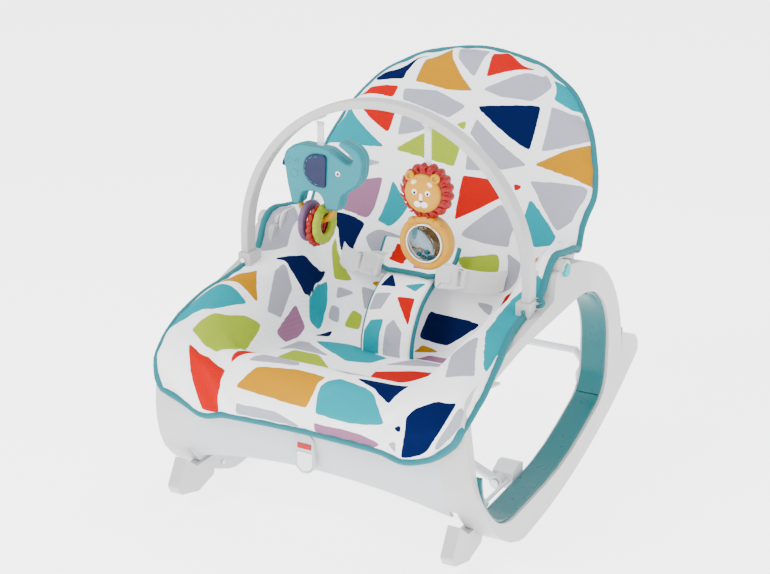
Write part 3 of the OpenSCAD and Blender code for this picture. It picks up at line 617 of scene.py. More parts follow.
def relax_cloth(piece, weights, pressure, cap, spread):
    """Inflates a closed pad with a short cloth simulation: weights hold its seams, cap limits the movement."""
    start = points_of(piece.data)
    held = piece.vertex_groups.new(name="held")
    for i, weight in enumerate(weights):
        if weight:
            held.add([i], float(weight), "REPLACE")
    cloth = modifier(piece, "CLOTH")
    settings = cloth.settings
    settings.quality = 4
    settings.mass = 0.2
    settings.tension_stiffness = settings.compression_stiffness = settings.shear_stiffness = 25
    settings.bending_stiffness = 0.4
    settings.use_pressure = True
    settings.uniform_pressure_force = pressure
    settings.shrink_min = -spread
    settings.vertex_group_mass = "held"
    settings.effector_weights.gravity = 0
    cloth.collision_settings.use_collision = False
    cloth.point_cache.frame_start, cloth.point_cache.frame_end = 1, CLOTH_FRAMES
    for step in range(1, CLOTH_FRAMES + 1):
        bpy.context.scene.frame_set(step)
    apply_modifiers(piece)
    piece.vertex_groups.clear()
    bpy.context.scene.frame_set(1)
    move = points_of(piece.data) - start
    length = np.linalg.norm(move, axis=1, keepdims=True)
    ended = start + move * np.minimum(1.0, cap / np.maximum(length, 1e-9))
    piece.data.vertices.foreach_set("co", ended.ravel())
    modifier(piece, "SMOOTH", factor=0.5, iterations=2)
    modifier(piece, "SUBSURF", levels=1, render_levels=1)
    apply_modifiers(piece)
    piece.data.polygons.foreach_set("use_smooth", [True] * len(piece.data.polygons))


# ---------------------------------------------------------------- the printed mosaic

TEAL, NAVY, RED, MUSTARD = (0.0, 0.25, 0.30), (0.0, 0.005, 0.05), (0.45, 0.004, 0.002), (0.45, 0.20, 0.0)
LIME, LILAC, GREY = (0.28, 0.38, 0.02), (0.27, 0.12, 0.21), (0.34, 0.345, 0.40)
# Printed patches of the cover on its chart: tenths of the half width from the middle, centimetres from the front
COVER_PRINT = [
    (NAVY, [(-9.5, 70.8), (-8.2, 73.5), (-7, 75.2), (-6, 70.2), (-7.4, 70.4)]),
    (MUSTARD, [(-5.1, 70), (-5.9, 75.2), (-4.7, 75.6), (0.4, 69.3), (-2.2, 69.2)]),
    (GREY, [(-3.8, 76), (-2.4, 73.6), (0.1, 71.3), (1.2, 75.8)]),
    (RED, [(1.4, 71.5), (1.9, 75.4), (4.5, 76), (7.2, 74.6), (4, 72.8)]),
    (GREY, [(1.1, 69.8), (5.5, 73), (9, 74.8), (8, 72.8), (5.5, 69.2), (3.1, 69.1)]),
    (TEAL, [(7.2, 70.3), (9.2, 74.2), (10, 72), (10, 69), (8.3, 69.9)]),
    (GREY, [(6.1, 62.3), (6.9, 69), (9.3, 69), (9.9, 67), (9.8, 65), (8, 63.5)]),
    (NAVY, [(0.9, 67.4), (3.5, 68), (6.1, 68.7), (5.4, 62.2)]),
    (GREY, [(0.9, 63.6), (1.2, 65.7), (5.4, 60.3), (3.8, 59.2)]),
    (MUSTARD, [(5.7, 60.5), (7.8, 63.1), (9.8, 64.6), (9.8, 58.7)]),
    (GREY, [(5.6, 58.3), (9.4, 58.8), (9, 54), (8, 52.3)]),
    (TEAL, [(6, 56), (6, 53), (6.8, 49.4), (7.8, 49.8), (8.1, 52)]),
    (RED, [(1.4, 51.7), (1.1, 57.8), (3.3, 57.8), (4.3, 55.5), (3, 53.6)]),
    (RED, [(4.7, 57.8), (5.4, 57.4), (5, 56.6)]),
    (GREY, [(1.9, 49.8), (3.4, 52.8), (4.5, 54.8), (5.6, 52), (5.2, 49.2), (3.5, 49.2)]),
    (RED, [(-9.4, 67.3), (-8.6, 69.4), (-6, 69.2), (-6, 67.2), (-8, 67.6)]),
    (GREY, [(-5.6, 68.8), (-3, 68.9), (0.1, 67.2), (-1.2, 65.3), (-5.3, 67)]),
    (RED, [(-8.2, 65.4), (-5.4, 65.2), (-5.2, 62)]),
    (GREY, [(-4.6, 62), (-4.9, 64.9), (-2.6, 65), (-2.7, 63.2)]),
    (TEAL, [(-10, 59.6), (-9.8, 62), (-9, 65.2), (-5, 60), (-7.6, 59.8)]),
    (LIME, [(-4.5, 60), (-2.3, 63.7), (-1.6, 63.7), (0.4, 62), (0.3, 58.8)]),
    (LIME, [(-0.5, 64.6), (0.4, 65.2), (0.4, 63.9)]),
    (GREY, [(1.2, 58.6), (1, 61.4), (2.8, 58.8)]),
    (GREY, [(-7.2, 58.4), (-4.8, 57.9), (-6.6, 56.4)]),
    (LILAC, [(-7.4, 51), (-6.8, 54.6), (-4.7, 56), (-4.8, 50)]),
    (TEAL, [(-4.2, 50), (-4, 55.8), (-2.4, 52.4), (-3, 49.4)]),
    (GREY, [(-3.9, 47.6), (-3.6, 48.8), (-1.6, 48.4), (-2.6, 45.4)]),
    (NAVY, [(-7.6, 50), (-5.9, 50), (-4.7, 49.2), (-3.2, 43), (-4.6, 45)]),
    (LIME, [(-6, 47.2), (-3.2, 41.2), (-4.6, 41)]),
    (GREY, [(-4.2, 40.2), (-2.9, 39.8), (-4.2, 38.4)]),
    (GREY, [(-2.8, 41), (-1, 39.8), (-2.4, 37.8)]),
    (MUSTARD, [(-2.5, 41.6), (-1.5, 42.2), (-1.8, 41)]),
    (LIME, [(-3.3, 35), (-3, 37.6), (-2.4, 37), (-2.4, 35)]),
    (GREY, [(-4.6, 35.6), (-4.5, 37.6), (-3.8, 37.4), (-3.6, 35.2)]),
    (LIME, [(1.5, 46.8), (4.3, 48.2), (3, 42.8), (2.3, 44)]),
    (GREY, [(4.9, 48.4), (5.6, 47), (4.6, 43.4), (3.7, 43)]),
    (NAVY, [(0.6, 35.6), (0.8, 39.3), (3.5, 38.8), (2, 35.2)]),
    (GREY, [(2.6, 41.6), (3.8, 41.4), (3.8, 39.8)]),
    (MUSTARD, [(0.6, 33), (0.8, 34.8), (1.8, 34.2)]),
    (LILAC, [(0.9, 31), (1.4, 33), (3, 33), (2.4, 30.8)]),
    (RED, [(4.2, 40.6), (4.4, 43), (6, 45), (6.6, 44), (5.4, 42)]),
    (LIME, [(5.6, 40.6), (6.9, 42.8), (7.2, 41.2), (5.8, 39.4)]),
    (MUSTARD, [(4.4, 37.4), (8.8, 38.6), (8.4, 35), (5.2, 36)]),
    (TEAL, [(8.6, 19), (8.2, 31), (8.9, 33.8), (9.9, 33), (9.9, 22), (9.7, 9.4)]),
    (GREY, [(7.6, 14.4), (8.5, 16.8), (9.4, 8.8), (8.2, 8.4)]),
    (GREY, [(8.4, 0.8), (9.5, 4.8), (9.9, 3), (9, 0.8)]),
    (GREY, [(5.8, 20), (6.4, 26), (7.4, 30), (7.8, 20), (6.8, 15.6)]),
    (RED, [(-8, 6.4), (-6, 6.6), (-4.2, 5.8), (-5, 0.4), (-6.6, 0.8)]),
    (LIME, [(-8.3, 7.6), (-7.8, 12), (-6.9, 17), (-6, 19.5), (-4.6, 10), (-5.6, 7.8)]),
    (TEAL, [(-9.8, 7), (-9.8, 13.4), (-9.2, 17.4), (-7.2, 18.6), (-8, 12.2)]),
    (MUSTARD, [(-9.6, 18.4), (-9.6, 22), (-8.6, 25.4), (-6.9, 20.6)]),
    (GREY, [(-6.3, 21.8), (-7.8, 27.4), (-8, 30.6), (-6.6, 29), (-5.8, 24.4)]),
    (NAVY, [(-8.7, 30), (-7.4, 33.6), (-5.3, 41.5), (-5.6, 38), (-6.2, 31.4)]),
    (LILAC, [(-5.4, 22.4), (-6, 28.6), (-5.1, 29.6), (-4.7, 27), (-4.7, 24)]),
    (TEAL, [(-6, 32.4), (-5.9, 36.6), (-5.1, 40.2), (-4.7, 36.4), (-4.8, 32.4), (-5.3, 31)]),
    (GREY, [(-9.7, 30.4), (-9.8, 34), (-9.7, 42), (-8.4, 38), (-8.3, 32.8)]),
    (NAVY, [(-4.6, 30.6), (-4.4, 32.4), (-3.8, 34), (-3.6, 32)]),
    (RED, [(-4, 6.6), (-4.4, 9.6), (-3.6, 13), (-3.3, 11.5)]),
    (GREY, [(-3.1, 7.8), (-2.9, 11.6), (-1, 10.6), (-0.6, 8.8)]),
    (MUSTARD, [(-3.4, 4.2), (-2.4, 7.2), (-0.5, 8), (1.2, 7.8), (0.4, 3.3), (-1.5, 3.8)]),
    (TEAL, [(0.9, 3), (0.9, 6.7), (1.8, 8), (3.6, 7.2), (4.8, 3.5), (2.6, 2.8)]),
    (NAVY, [(2.3, 8.9), (4.8, 6.1), (6.2, 8.6), (4, 9.2)]),
    (RED, [(1.7, 14), (1, 20.4), (2.2, 24), (3.6, 25.5), (3, 17)]),
    (LIME, [(-3.4, 15), (-3.5, 22.4), (-2.2, 22.6), (-0.2, 15.8), (-1.6, 13.8)]),
    (TEAL, [(-3.5, 28), (-2, 30.6), (0.4, 27), (0.2, 23.4), (-0.8, 22.2)]),
    (GREY, [(-4.4, 21), (-4.3, 26.6), (-3.6, 26.8), (-1.6, 22.6), (-3.7, 22.8)]),
    (GREY, [(0.4, 20), (1, 24.4), (3.4, 29.4), (1.4, 30)]),
    (GREY, [(0.3, 11), (0.4, 13.6), (1.3, 13.2), (3.4, 11.4), (1.8, 9.6)]),
    (GREY, [(4, 17), (4.2, 24), (4.8, 28), (4.9, 18), (4.6, 12.4)]),
    (LILAC, [(0.8, 0.5), (0.8, 1.8), (2.8, 1.8), (4.6, 1.1), (4, 0.4)]),
    (GREY, [(-3.5, 0.7), (-3.4, 2.2), (-1.2, 2.2), (0.1, 0.6)]),
    (LILAC, [(-4.4, 4.4), (-4.3, 5.3), (-3.8, 4.3)]),
    (NAVY, [(6.7, 4.6), (7.2, 5.4), (8.4, 5.7), (9.3, 5.2), (8.6, 0.8), (6.5, 0.5)]),
    (NAVY, [(5.6, 3.3), (6.5, 3.9), (6.5, 2.8)]),
    (GREY, [(5.2, 1.6), (6, 2), (6, 0.6)]),
]


def inside(points, ring):
    """Which points lie inside a ring, both two-dimensional."""
    x, y = points[:, 0], points[:, 1]
    found = np.zeros(len(points), bool)
    for (ax, ay), (bx, by) in zip(ring, ring[1:] + ring[:1]):
        if ay != by:
            crosses = (ay > y) != (by > y)
            found ^= crosses & (x < (bx - ax) * (y - ay) / (by - ay) + ax)
    return found


def dense_ring(ring, steps=14):
    """A ring with points along its sides."""
    out = []
    for a, b in zip(ring, ring[1:] + ring[:1]):
        a, b = np.array(a, float), np.array(b, float)
        out.extend(tuple(a + (b - a) * (k / steps)) for k in range(steps))
    return out


# Narrowest white line between two printed patches, and how far a patch reaches beyond its own corners, in metres
WHITE_LINE, PATCH_REACH = 0.0055, 0.02


def print_on(piece, chart, place_of, patches, printed):
    """Writes the print onto a mesh from the chart point of each vertex and place_of(chart points)."""
    mesh = piece.data
    places = points_of(mesh)
    ink = np.full(len(places), -PATCH_REACH)
    rival = ink.copy()
    tint = np.tile(np.array(GREY, float), (len(places), 1))
    for colour, ring in patches:
        ring = dense_ring(ring)
        rim = place_of(np.array(ring))
        low, high = rim.min(axis=0) - PATCH_REACH, rim.max(axis=0) + PATCH_REACH
        near = np.where(((places > low) & (places < high)).all(axis=1) & printed)[0]
        if not len(near):
            continue
        away = np.linalg.norm(places[near][:, None] - rim[None], axis=2).min(axis=1)
        signed = np.where(inside(chart[near], ring), away, -away)
        better = signed > ink[near]
        rival[near] = np.maximum(rival[near], np.where(better, ink[near], signed))
        ink[near[better]] = signed[better]
        tint[near[better]] = colour
    ink = np.minimum(ink, (ink - rival) / 2 - WHITE_LINE / 2)
    edges = np.array([e.vertices[:] for e in mesh.edges])
    for _ in range(2):
        total, count = np.zeros(len(ink)), np.zeros(len(ink))
        for a, b in ((0, 1), (1, 0)):
            np.add.at(total, edges[:, a], ink[edges[:, b]])
            np.add.at(count, edges[:, a], 1)
        ink = 0.5 * ink + 0.5 * total / np.maximum(count, 1)
    mesh.attributes.new("ink", "FLOAT", "POINT").data.foreach_set("value", ink)
    tint = np.concatenate([tint, np.ones((len(tint), 1))], axis=1)
    mesh.attributes.new("tint", "FLOAT_COLOR", "POINT").data.foreach_set("color", tint.ravel())


def lifted_over(grid, normal, names, gap=0.003, reach=0.03):
    """The grid, moved up and forward wherever one of the named rigid parts would come through it."""
    lift = np.zeros(grid.shape[:2])
    away = normal * (0, 1, 1) + (0, -0.15, 0.25)
    away /= np.linalg.norm(away, axis=2, keepdims=True)
    for name in names:
        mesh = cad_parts[name].data
        tree = BVHTree.FromPolygons(points_of(mesh).tolist(), [p.vertices[:] for p in mesh.polygons])
        low, high = (np.array(corner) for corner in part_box(name))
        near = ((grid > low - 0.02) & (grid < high + 0.02)).all(axis=2)
        for i, j in zip(*np.where(near)):
            place, out = Vector(grid[i, j]), Vector(away[i, j])
            hit, _, _, distance = tree.ray_cast(place + out * reach, -out, reach + gap)
            if hit is not None:
                lift[i, j] = max(lift[i, j], reach - distance + gap)
    wide = lift.copy()
    for _ in range(3):
        wide = np.maximum(lift, np.mean(neighbours(wide) + [wide], axis=0))
    return grid + away * wide[..., None]


# The chart's third value is 1 on the outer face and 0 under it; the print ends between the two
OUTER_FACE = 0.4


def printed_pad(name, grid, normal, thickness, chart, patches, pressure, cap, spread):
    """A padded, printed form whose outer face is a grid: returns it and the grid after the cloth has settled.

    The pressure swells it, cap is how far a point may move, and spread is the cloth's growth.
    """
    along, across = grid.shape[:2]
    verts, faces = closed_pad(grid, normal, thickness)
    pad = outward(mesh_piece(name, verts, faces, "print"))
    count = along * across
    flat = np.zeros((2 * count, 3))
    flat[:, :2] = np.tile(chart.reshape(-1, 2), (2, 1))
    flat[:count, 2] = 1
    pad.data.attributes.new("chart", "FLOAT_VECTOR", "POINT").data.foreach_set("vector", flat.ravel())
    rim = rim_of(np.arange(count).reshape(along, across))
    held = np.zeros(2 * count)
    held[rim] = held[rim + count] = 1
    near_rim = np.clip(edge_distance(grid) / 0.025, 0.1, 1).ravel()
    relax_cloth(pad, held, pressure, cap * np.tile(near_rim, 2)[:, None], spread)
    mesh = pad.data
    flat = np.zeros(len(mesh.vertices) * 3)
    mesh.attributes["chart"].data.foreach_get("vector", flat)
    flat = flat.reshape(-1, 3)
    mesh.attributes.remove(mesh.attributes["chart"])
    outer = points_of(mesh)[:count].reshape(along, across, 3)
    columns, rows = chart[0, :, 0], chart[:, 0, 1]

    def place_of(points):
        """Places on the settled cloth of points on its chart."""
        u = np.interp(points[:, 0], columns, np.arange(across))
        v = np.interp(points[:, 1], rows, np.arange(along))
        i, j = np.minimum(v.astype(int), along - 2), np.minimum(u.astype(int), across - 2)
        s, t = (u - j)[:, None], (v - i)[:, None]
        return (
            outer[i, j] * (1 - s) * (1 - t) + outer[i, j + 1] * s * (1 - t)
            + outer[i + 1, j] * (1 - s) * t + outer[i + 1, j + 1] * s * t
        )

    print_on(pad, flat[:, :2], place_of, patches, flat[:, 2] > OUTER_FACE)
    return pad, outer


# Rigid parts that the cover is lifted clear of
UNDER_THE_COVER = [
    "rail_shell_right", "rail_shell_left", "pivot_housing_right", "pivot_housing_left",
    "back_arm_right", "back_arm_left", "front_panel",
]


# Thickness of the cover at its rim, what the seat and the back add inside it, and how far in that is reached
RIM_T, SEAT_T, BACK_T, RIM_WIDTH = 0.0065, 0.0065, 0.007, 0.03
PIPING_R = 0.0046
# Where the cover starts to follow the back, in centimetres along its chart, and over what length
BACK_STARTS, BACK_RISE = 44, 8


def make_cover(across=91, along=151):
    """The padded cover of seat and back in one piece, bent at the recline pivots, and the piping on its rim."""
    grid, chart = cover_grid(across, along)
    normal = grid_normals(grid)
    grid = lifted_over(grid, normal, UNDER_THE_COVER)
    rise = np.clip(edge_distance(grid) / RIM_WIDTH, 0, 1)
    rise = rise * rise * (3 - 2 * rise)
    on_seat_back = np.clip((chart[..., 1] - BACK_STARTS) / BACK_RISE, 0, 1)
    thickness = RIM_T + rise * (SEAT_T + BACK_T * on_seat_back)
    sunk = grid - normal * 0.0012 * rise[..., None]
    cover, outer = printed_pad("padded_cover", sunk, normal, thickness, chart, COVER_PRINT, 4.0, 0.006, 0.03)
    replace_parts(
        cover, "backrest_pad", "lower_back_pad", "seat_cushion", "seat_bolster_right", "seat_bolster_left"
    )
    edge = [Vector(p) for p in rim_of(outer)[::2]]
    piping = tube("cover_piping", edge, PIPING_R, "piping", None, closed=True, sides=12)
    for piece in (cover, piping):
        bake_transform(piece)


make_cover()

# ---------------------------------------------------------------- outlines and solids


def corner_arc(before, corner, after, radius):
    """Points of a rounded corner."""
    p, q, n = Vector(before), Vector(corner), Vector(after)
    u, v = (p - q).normalized(), (n - q).normalized()
    half = u.angle(v) / 2
    centre = q + (u + v).normalized() * radius / math.sin(half)
    a, b = q + u * radius / math.tan(half) - centre, q + v * radius / math.tan(half) - centre
    start = math.atan2(a.y, a.x)
    sweep = (math.atan2(b.y, b.x) - start + 3 * math.pi) % (2 * math.pi) - math.pi
    steps = max(2, math.ceil(abs(sweep) / 0.16))
    turns = [start + sweep * i / steps for i in range(steps + 1)]
    return [(centre.x + radius * math.cos(turn), centre.y + radius * math.sin(turn)) for turn in turns]


def rounded(corners, shift=(0.0, 0.0)):
    """Closed outline in metres from corners written as (x, y, corner radius) in millimetres."""
    ring = []
    for i, (x, y, radius) in enumerate(corners):
        before, after = corners[i - 1][:2], corners[(i + 1) % len(corners)][:2]
        ring.extend(corner_arc(before, (x, y), after, radius))
    return [(shift[0] + x * MM, shift[1] + y * MM) for x, y in ring]


def softened(node, material, width, body):
    """A piece with the shape of a CAD node and rounded edges, which stands for that node."""
    form = bmesh.new()
    form.from_mesh(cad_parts[node].data)
    bmesh.ops.remove_doubles(form, verts=form.verts, dist=1e-6)
    bmesh.ops.dissolve_limit(
        form, angle_limit=math.radians(0.6), verts=form.verts, edges=form.edges, delimit=set()
    )
    name = node + "_moulded"
    mesh = bpy.data.meshes.new(name)
    form.to_mesh(mesh)
    form.free()
    piece = bevelled(new_piece(name, mesh, material), width, angle=30)
    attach(piece, body)
    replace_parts(piece, node)


def turned_ring(name, centre, axis, profile, material, body, lobes=0, swell=0.0, count=96):
    """A closed ring turned about an axis: profile is (radius, height) points, lobes swell its outer side."""
    axis = Vector(axis).normalized()
    side = axis.orthogonal().normalized()
    other = axis.cross(side)
    inner, outer = min(r for r, _ in profile), max(r for r, _ in profile)
    verts = []
    for turn in circle(count):
        wave = swell * (abs(math.cos(lobes * turn / 2)) - 0.6)
        for radius, height in profile:
            share = (radius - inner) / (outer - inner)
            grown = radius + wave * share * share
            out = side * grown * math.cos(turn) + other * grown * math.sin(turn)
            verts.append(Vector(centre) + out + axis * height)
    faces = ring_faces(count, len(profile), closed=True)
    return outward(mesh_piece(name, verts, faces, material, body))


def soft_section(inner, outer, thickness, edge, steps=6):
    """Cross-section of a ring with rounded edges."""
    ring = []
    for cx, cy, start in (
        (outer - edge, thickness / 2 - edge, 0), (inner + edge, thickness / 2 - edge, 90),
        (inner + edge, edge - thickness / 2, 180), (outer - edge, edge - thickness / 2, 270),
    ):
        for k in range(steps + 1):
            turn = math.radians(start + 90 * k / steps)
            ring.append((cx + edge * math.cos(turn), cy + edge * math.sin(turn)))
    return ring


def dome(name, centre, axis, radius, height, rim, material, body, power=2.0, count=64, rings=12, squeeze=1.0):
    """A domed disc: its rim is a short wall, and its crown rises to height."""
    axis, centre = Vector(axis).normalized(), Vector(centre)
    side = Vector((1, 0, 0)) if abs(axis.x) < 0.9 else Vector((0, 1, 0))
    other = axis.cross(side).normalized()
    side = other.cross(axis)
    levels = [(radius * 0.999, -rim)]
    for k in range(rings):
        share = math.sin((1 - k / rings) * math.pi / 2)
        levels.append((radius * share, height * (1 - share ** power) ** (1 / power)))
    verts = []
    for r, h in levels:
        for turn in circle(count):
            verts.append(centre + side * r * math.cos(turn) + other * r * squeeze * math.sin(turn) + axis * h)
    verts.append(centre + axis * height)
    faces = ring_faces(len(levels), count)
    last = (len(levels) - 1) * count
    for i in range(count):
        faces.append((last + i, last + (i + 1) % count, len(verts) - 1))
    faces.append(tuple(range(count))[::-1])
    return outward(mesh_piece(name, verts, faces, material, body))


# ---------------------------------------------------------------- toys

BAR_Y = -0.057
TOY_TOP = 0.438
ELEPHANT_X, ELEPHANT_T = -0.087, 0.022
LION_X, MANE_T, LION_FACE_R, LION_FACE_H = 0.062, 0.022, 0.024, 0.0065
TEETHER_T = 0.008
FRONT = (0, -1, 0)
# Outlines in millimetres from the middle under the strap, as (x, z, corner radius)
ELEPHANT = [
    (-24, 3, 20), (-50, -8, 18), (-44, -50, 20), (-38, -76, 3), (-27, -76, 3),
    (-22, -58, 12), (4, -56, 14), (12, -78, 4), (30, -78, 4), (34, -58, 14),
    (62, -38, 26), (66, 2, 22), (34, 14, 4), (30, 7, 3), (52, -8, 5), (46, -18, 6), (16, 0, 10),
]
EAR = [(15, -7, 5), (-18, -7, 18), (-18, -49, 22), (13, -49, 3)]
EAR_SEAM, STITCH_GAP = 0.84, 0.0075


def dash(name, middle, direction, length, radius, material, body, lift):
    """A short raised line on the front of a toy."""
    x, z = middle
    dx, dz = math.cos(direction) * length / 2, math.sin(direction) * length / 2
    ends = [(x - dx, lift, z - dz), (x, lift - radius * 0.3, z), (x + dx, lift, z + dz)]
    return tube(name, smooth_path(ends, 4), radius, material, body, sides=8)


def make_elephant():
    body = "elephant"
    shift = (ELEPHANT_X, TOY_TOP)
    front = BAR_Y - ELEPHANT_T / 2
    outline = rounded(ELEPHANT, shift)
    hide = plate("elephant_hide", outline, ELEPHANT_T, front_place(BAR_Y + ELEPHANT_T / 2), "aqua_toy", body)
    bevelled(hide, 0.0045, 5, 30)
    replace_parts(hide, "elephant_body")
    tube("elephant_seam", [(x, BAR_Y, z) for x, z in outline], 0.0009, "aqua_dark", body, closed=True, sides=8)
    ear = plate("elephant_ear_shell", rounded(EAR, shift), 0.003, front_place(front + 0.0002), "navy_toy", body)
    for angle in (35, 30):
        bevelled(ear, 0.0012, angle=angle)
    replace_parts(ear, "elephant_ear")
    seam = rounded([(x * EAR_SEAM, (z + 28) * EAR_SEAM - 28, r * EAR_SEAM) for x, z, r in EAR], shift)
    stitches, walked, passed = [], 0.0, 0
    for a, b in zip(seam, seam[1:] + seam[:1]):
        step = Vector(b) - Vector(a)
        walked += step.length
        if walked > STITCH_GAP * (passed + 1):
            passed += 1
            if a[0] < ELEPHANT_X + 0.008:
                turn = math.atan2(step.y, step.x)
                stitches.append(dash("stitch", a, turn, 0.0042, 0.0005, "aqua_toy", body, front - 0.0031))
    joined("elephant_stitches", stitches)
    spots = []
    for cx, cz, r, count in ((-33, -36, 5.2, 7), (-39, -20, 3.4, 5), (-29, -19, 2.2, 4)):
        for turn in circle(count):
            turn += 0.5
            place = (ELEPHANT_X + (cx + r * math.cos(turn)) * MM, TOY_TOP + (cz + r * math.sin(turn)) * MM)
            spots.append(dash("spot", place, turn + math.pi / 2, 0.003, 0.00045, "aqua_dark", body, front - 0.0001))
    joined("elephant_spots", spots)
    eye = Vector((ELEPHANT_X + 0.030, front, TOY_TOP - 0.029))
    joined("elephant_eye", [
        dome("eye", eye + Vector(move), FRONT, radius, height, rim, material, body)
        for move, radius, height, rim, material in (
            ((0, 0.0004, 0), 0.0036, 0.0014, 0.0005, "white_toy"),
            ((0.0004, -0.0008, 0), 0.0018, 0.0009, 0.0003, "black_toy"),
            # The small white dot is a painted highlight (glint) on the eye
            ((-0.0002, -0.0015, 0.0007), 0.0005, 0.0003, 0.0001, "white_toy"),
        )
    ])
    tail = [(ELEPHANT_X + x * MM, BAR_Y, TOY_TOP + z * MM) for x, z in ((-45, -18), (-50.5, -22), (-52, -30))]
    thicker = [0.0022 + 0.0002 * k for k in range(13)]
    tube("elephant_tail", smooth_path(tail, 6), thicker, "navy_toy", body, sides=10)
    loop = [
        (ELEPHANT_X - 0.0055 + 0.0265 * math.cos(t), BAR_Y, TOY_TOP - 0.070 - 0.0265 * math.sin(t))
        for t in (math.pi * k / 40 for k in range(41))
    ]
    bar = tube("teether_loop", loop, 0.004, "mustard_toy", body, sides=20)
    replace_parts(bar, "ring_loop")


def make_teethers():
    """Rings on the half loop: a smooth one, a knobbly one and one with pressed marks."""
    for colour, lobes, swell, material in (
        ("purple", 0, 0.0, "lilac_toy"), ("red", 16, 0.0035, "red_toy"), ("green", 12, 0.0012, "lime_toy"),
    ):
        node, body, name = colour + "_ring", colour + "_teether", colour + "_ring_moulded"
        low, high = (Vector(corner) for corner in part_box(node))
        centre = (low + high) / 2
        section = soft_section(0.0131, (high.z - low.z) / 2 - 0.4 * swell, TEETHER_T, 0.0036)
        parts = [turned_ring(name, centre, (1, 0, 0), section, material, body, lobes, swell)]
        for turn in circle(14) if lobes else ():
            for face in (1, -1):
                at = centre + Vector((face * TEETHER_T * 0.48, 0.0195 * math.cos(turn), 0.0195 * math.sin(turn)))
                parts.append(dome("mark", at, (face, 0, 0), 0.0022, 0.0009, 0.0008, material, body, 2.0, 16, 4, 1.5))
        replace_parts(joined(name, parts) if lobes else parts[0], node)


